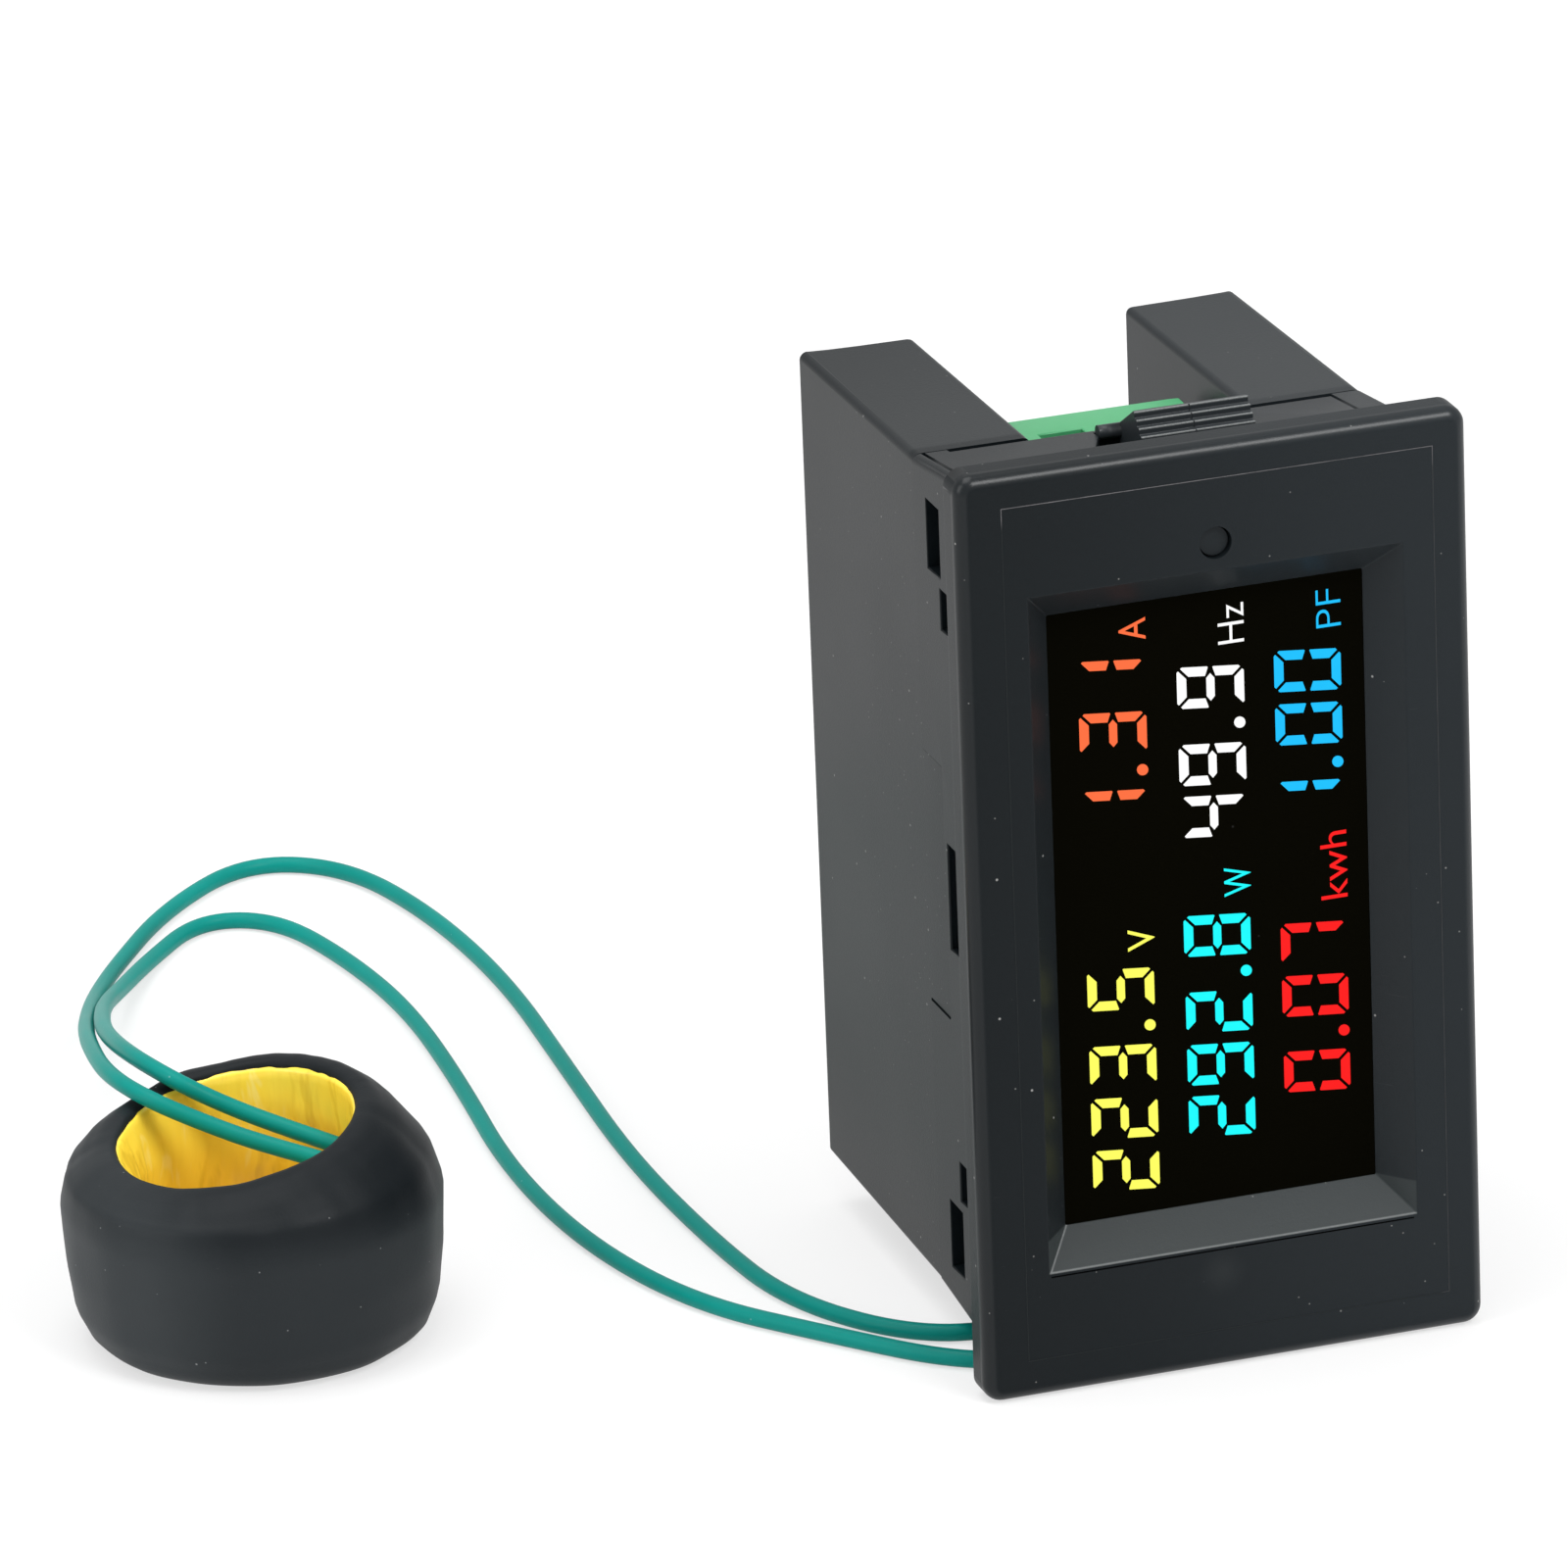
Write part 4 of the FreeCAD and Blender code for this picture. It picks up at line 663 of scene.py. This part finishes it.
def sleeve_shape(angle, radius, height):
    """How far the uneven sleeve is pushed out and lifted at a place on its section"""
    around = Vector((math.cos(angle), math.sin(angle), 0)) * 1.3
    broad = noise.noise(around * 1.1 + Vector((3.1, 0.7, height * 0.05)))
    wave = noise.noise(around * 2.2 + Vector((9.0, 2.0, height * 0.14)))
    pleat = noise.noise(around * 6.0 + Vector((1.0, 6.0, height * 0.05)))
    upper = clamped((height - 10) / 7)
    outside = clamped((radius - LIP_R) / 4)
    lip = math.exp(-((radius - LIP_R) / 1.1) ** 2) * upper
    pressed = sum(near_angle(angle, middle, 0.10) for middle in PRESSED_AT)
    push = (0.30 * broad + 0.22 * wave + 0.06 * upper * pleat) * outside + 0.05 * pleat * lip
    lift = (0.16 * wave + 0.05 * pleat) * upper - (0.1 + 0.25 * pressed) * lip
    return push, lift


def tape_shape(angle, radius, height):
    """The laps and crumples on the inner side of the tape, fading out near its top"""
    inside = clamped((LIP_R - radius) / 0.5) * clamped((17.3 - height) / 2.5, 0.15)
    slant = angle + TAPE_LAP_SLANT * height
    lap = (slant * TAPE_LAPS / (2 * math.pi)) % 1.0
    around = Vector((math.cos(slant), math.sin(slant), 0))
    crumple = noise.noise(around * 4 + Vector((0, 4, height * 0.12)))
    crease = noise.noise(around * 15 + Vector((5, 0, height * 0.08)))
    push = inside * (0.12 * lap + 0.30 * crumple + 0.10 * crease - 0.12)
    return push, 0.0


def closed_along(section, spacing):
    return along(section + section[:1], spacing)[:-1]


sleeve = turned_ring("transformer_sleeve", rounded(closed_along(SLEEVE_SECTION, 1.2)), 240, sleeve_shape,
                     "sleeve_rubber", "ct_sleeve")
tape = turned_ring("transformer_tape", closed_along(TAPE_SECTION, 0.5), 420, tape_shape,
                   "yellow_tape", "ct_tape")


def wound_wire():
    """One copper wire in turns round the section of the core, under the tape"""
    plan = Plan("wound_wire", {"Turns": 100, "Steps a turn": 16, "Wire radius": WIRE_R * MM,
                               "Ring radius": WINDING_R * MM, "Half width": WINDING_HALF_W * MM,
                               "Half height": WINDING_HALF_H * MM})
    count = plan.size("Turns") * plan.size("Steps a turn")
    step = plan.node("GeometryNodeInputIndex")
    round_core = step * (2 * math.pi) / plan.size("Steps a turn")
    round_ring = step * (2 * math.pi) / count
    across = (round_core.cosine() * CORE_CORNER).at_most(1.0).at_least(-1.0)
    up = (round_core.sine() * CORE_CORNER).at_most(1.0).at_least(-1.0)
    radius = plan.size("Ring radius") + across * plan.size("Half width")
    where = plan.node("ShaderNodeCombineXYZ", None, {
        0: radius * round_ring.cosine(), 1: radius * round_ring.sine(), 2: up * plan.size("Half height")})
    line = plan.node("GeometryNodeCurvePrimitiveLine")
    points = plan.node("GeometryNodeResampleCurve", {"mode": "COUNT"}, {"Curve": line, "Count": count})
    laid = plan.node("GeometryNodeSetPosition", None, {"Geometry": points, "Position": where})
    closed = plan.node("GeometryNodeSetSplineCyclic", None, {"Geometry": laid, "Cyclic": True})
    section = plan.node("GeometryNodeCurvePrimitiveCircle", None, {"Resolution": 6,
                                                                   "Radius": plan.size("Wire radius")})
    wire = plan.node("GeometryNodeCurveToMesh", None, {"Curve": closed, "Profile Curve": section})
    mesh = plan.mesh(wire, finishes["copper"])
    mesh.transform(Matrix.Translation(spot(CT_X, CT_D, CORE_MIDDLE_Z)))
    return piece("transformer_winding", smoothed(mesh, 80), finishes["copper"],
                 instead_of="ct_winding")


TRANSFORMER = [sleeve, tape, wound_wire(), frame["nodes"]["ct_core"]]
lead("lead_outer", LEAD_OUTER)
lead("lead_inner", LEAD_INNER)


# Mouldings

def eased(node_name, width, body="meter", segments=2, least=2.0, depths=(-1.0, 99.0), finish=None):
    """A moulded piece whose CAD edges over a least length, between two depths, get a small radius"""
    work = bmesh.new()
    work.from_mesh(frame["nodes"][node_name].data)
    bmesh.ops.remove_doubles(work, verts=work.verts, dist=1e-6)
    bmesh.ops.dissolve_limit(work, angle_limit=math.radians(1.0), verts=work.verts, edges=work.edges)
    corners = []
    for edge in work.edges:
        depth = max(corner.co.y / MM - FRONT_Y for corner in edge.verts)
        if (len(edge.link_faces) == 2 and edge.calc_length() > least * MM
                and edge.calc_face_angle() > math.radians(32) and depths[0] < depth < depths[1]):
            corners.append(edge)
    bmesh.ops.bevel(work, geom=corners, offset=width * MM, offset_type="OFFSET", segments=segments,
                    profile=0.5, affect="EDGES", clamp_overlap=False, loop_slide=True)
    holder = held("holder", smoothed(drawn(work, node_name + "_eased", False), 40))
    even = holder.modifiers.new("even", "WEIGHTED_NORMAL")
    even.mode = "FACE_AREA"
    even.weight = 100
    even.keep_sharp = True
    slot = slots[node_name]
    piece(node_name + "_moulding", baked(holder), finish or finishes[slot], body, node_name)


# The clips' finish, with painted highlights on their rib ridges
clip_finish = moulded_charcoal("clip_charcoal_plastic", CLIP_CHARCOAL_SHADED_TO_LIT, 0.30, ridge_highlight_share=0.8)
eased("front_frame", 0.12, depths=(-1.0, 16.0))
eased("rear_housing", 0.6, segments=4, least=5.0, depths=(22.0, 99.0))
for clip in ("top_clip", "bottom_clip"):
    eased(clip, 0.1, clip, finish=clip_finish)
for terminal in ("green_terminal", "blue_terminal"):
    eased(terminal, 0.12)


# Readings on the display, which run up the long side

SCREEN_D = 2.975
SEGMENT_T = 0.02
DIGIT_H = 5.68
DIGIT_W = 3.5
STROKE = 0.80
GAP = 0.18
CORNER = 0.13
LEAN = 0.10
POINT_R = 0.48
POINT_RISE = 0.45
UNIT_DROP = 0.12
UNIT_H = 3.3
LEFT_LINE, MIDDLE_LINE, RIGHT_LINE = -5.17, 3.15, 11.40
SEGMENTS = {"0": "abcdef", "1": "bc", "2": "abged", "3": "abgcd", "4": "fgbc", "5": "afgcd", "6": "afgedc",
            "7": "abc", "8": "abcdefg", "9": "abcdfg"}


def segment_outlines():
    """The seven segments as outlines in a box of the digit's width and height"""
    w, h, s, g, c = DIGIT_W, DIGIT_H, STROKE, GAP, CORNER
    m, t = h / 2, s / 2
    right = [(w - c, h - g - c), (w, h - g - 2 * c), (w, m + g * 1.1 + c / 2), (w - c / 2, m + g * 1.1),
             (w - s, m + t + 0.05), (w - s, h - s - g)]
    top = [(g + c, h - c), (g + 2 * c, h), (w - g - 2 * c, h), (w - g - c, h - c), (w - s - g, h - s),
           (s + g, h - s)]
    return {
        "a": top,
        "d": [(x, h - y) for x, y in top][::-1],
        "b": right,
        "c": [(x, h - y) for x, y in right][::-1],
        "f": [(w - x, y) for x, y in right][::-1],
        "e": [(w - x, h - y) for x, y in right],
        "g": [(t + g, m), (s + g, m + t - g * 0.3), (w - s - g, m + t - g * 0.3), (w - t - g, m),
              (w - s - g, m - t + g * 0.3), (s + g, m - t + g * 0.3)],
    }


OUTLINES = segment_outlines()


def plate(work, outline, near, far):
    """A flat plate of an outline of (x, z), between two depths"""
    front, back = ([work.verts.new(spot(x, depth, z)) for x, z in outline] for depth in (near, far))
    work.faces.new(front)
    work.faces.new(back[::-1])
    loop_faces(work, front, back)


def on_screen(work, points, x0, z0):
    """Lays an outline on the display: its width runs up the meter and its height towards the left"""
    plate(work, [(x0 - y, z0 + x + LEAN * y) for x, y in points], SCREEN_D, SCREEN_D + SEGMENT_T)


def unit_word(work, word, x0, z0, length, size=UNIT_H, swell=0.0):
    """A unit in letters of one size, their strokes swollen or thinned, fitted to a length up the meter"""
    text = bpy.data.curves.new("unit", "FONT")
    text.body = word
    text.size = size
    text.offset = swell
    text.extrude = SEGMENT_T
    text.resolution_u = 6
    mesh = baked(held("unit", text))
    low = min(vertex.co.x for vertex in mesh.vertices)
    high = max(vertex.co.x for vertex in mesh.vertices)
    for vertex in mesh.vertices:
        across, up, thick = vertex.co
        vertex.co = spot(x0 - up, SCREEN_D - thick * 0.5, z0 + (across - low) * length / (high - low))
    work.from_mesh(mesh)


def reading(name, colour, foot, digits, dot, unit):
    """A value and its unit: its foot line, each digit with its lower end, the point and the unit"""
    work = bmesh.new()
    for character, z0 in digits:
        for segment in SEGMENTS[character]:
            on_screen(work, OUTLINES[segment], foot, z0)
    turns = [k * math.pi / 10 for k in range(20)]
    on_screen(work, [(POINT_R * math.cos(a), POINT_R * math.sin(a)) for a in turns], foot - POINT_RISE, dot)
    unit_word(work, unit[0], foot + UNIT_DROP, *unit[1:])
    piece(name, drawn(work, name), lit(name + "_glow", colour))


reading("volts_reading", (1.0, 1.0, 0.115), LEFT_LINE,
        [("2", 15.29), ("2", 19.80), ("3", 24.31), ("5", 30.90)], 29.50, ("V", 36.05, 1.85))
reading("amps_reading", (1.0, 0.155, 0.042), LEFT_LINE,
        [("1", 46.17), ("3", 52.80), ("1", 57.21)], 51.38, ("A", 62.40, 1.85))
reading("watts_reading", (0.0, 0.96, 1.0), MIDDLE_LINE,
        [("2", 18.66), ("9", 23.13), ("2", 27.67), ("8", 34.26)], 32.86, ("W", 39.45, 2.45))
reading("hertz_reading", (1.0, 1.0, 1.0), MIDDLE_LINE,
        [("4", 44.47), ("9", 48.90), ("9", 55.47)], 54.14, ("Hz", 60.95, 3.32, 3.3, -0.03))
reading("energy_reading", (1.0, 0.0, 0.0), RIGHT_LINE,
        [("0", 21.20), ("0", 27.75), ("7", 32.28)], 26.36, ("kwh", 37.85, 5.75, 3.3, -0.005))
reading("factor_reading", (0.0, 0.53, 1.0), RIGHT_LINE,
        [("1", 44.47), ("0", 51.09), ("0", 55.63)], 49.52, ("PF", 61.08, 3.20, 3.2, -0.05))


# Fine lines on the bezel's face: a black strip that paints the shadow in the groove under the recess's lower
# slope, and the clear film's edge

SEAM_BOX = (-15.7, 15.5, 10.30, 10.42)
SEAM_DEPTHS = (-0.01, 0.02)
FILM_INSET = 3.35
FILM_SHIFT = 0.3
FILM_TOP_RISE = 0.5
HAIR = 0.06
HAIR_DEPTHS = (-0.02, 0.01)


# A black strip that paints the shadow in the groove under the recess's lower slope
def painted_seam_shadow():
    left, right, low, high = SEAM_BOX
    work = bmesh.new()
    plate(work, [(left, low), (right, low), (right, high), (left, high)], *SEAM_DEPTHS)
    shadow = matt_plastic("seam_shadow", (0.0005, 0.0007, 0.0008), (0.0015, 0.0018, 0.0020), 0.9, 0.0)
    piece("painted_seam_shadow", drawn(work, "painted_seam_shadow"), shadow)


def film_edge():
    wide, high = BEZEL_W / 2 - FILM_INSET, BEZEL_H / 2 - FILM_INSET
    work = bmesh.new()
    loops = []
    near, far = HAIR_DEPTHS
    for reach, depth in ((0, far), (0, near), (-HAIR, near), (-HAIR, far)):
        loops.append([work.verts.new(spot(side * (wide + reach) + FILM_SHIFT, depth,
                                          BEZEL_H / 2 + end * (high + reach) + max(end, 0) * FILM_TOP_RISE))
                      for side, end in ((-1, -1), (1, -1), (1, 1), (-1, 1))])
    for loop, after in zip(loops, loops[1:] + loops[:1]):
        loop_faces(work, loop, after)
    piece("film_edge", drawn(work, "film_edge"), film_hairline())


painted_seam_shadow()
film_edge()


# Floor and light

FLOOR_REACH = 3
FLOOR_Z = -0.00005
SKY = 0.72
LAMPS = (
    ("top_softbox", (-0.2, 0.1, 1.2), (-0.02, 0.0, 0.03), (0.9, 0.7), 7.5),
    ("left_softbox", (-1.1, -0.2, 0.6), (-0.02, 0.0, 0.03), (0.5, 0.8), 4),
    ("front_softbox", (0.36, -0.74, 0.98), (0.0, 0.0, 0.04), (0.5, 0.4), 8.5),
)

work = bmesh.new()
for side, end in ((-1, -1), (1, -1), (1, 1), (-1, 1)):
    work.verts.new((side * FLOOR_REACH, end * FLOOR_REACH, FLOOR_Z))
work.faces.new(work.verts)
floor = held("floor", drawn(work, "floor", False))
floor.data.materials.append(pale_floor())

scene.view_settings.view_transform = "Standard"
scene.world = bpy.data.worlds.new("studio")
scene.world.use_nodes = True
background = scene.world.node_tree.nodes["Background"]
background.inputs["Color"].default_value = (1, 1, 1, 1)
background.inputs["Strength"].default_value = SKY
for name, at, aim, size, power in LAMPS:
    light = bpy.data.lights.new(name, "AREA")
    light.shape = "RECTANGLE"
    light.size, light.size_y = size
    light.energy = power
    holder = held(name, light)
    holder.location = at
    holder.rotation_euler = (Vector(aim) - Vector(at)).to_track_quat("-Z", "Y").to_euler()
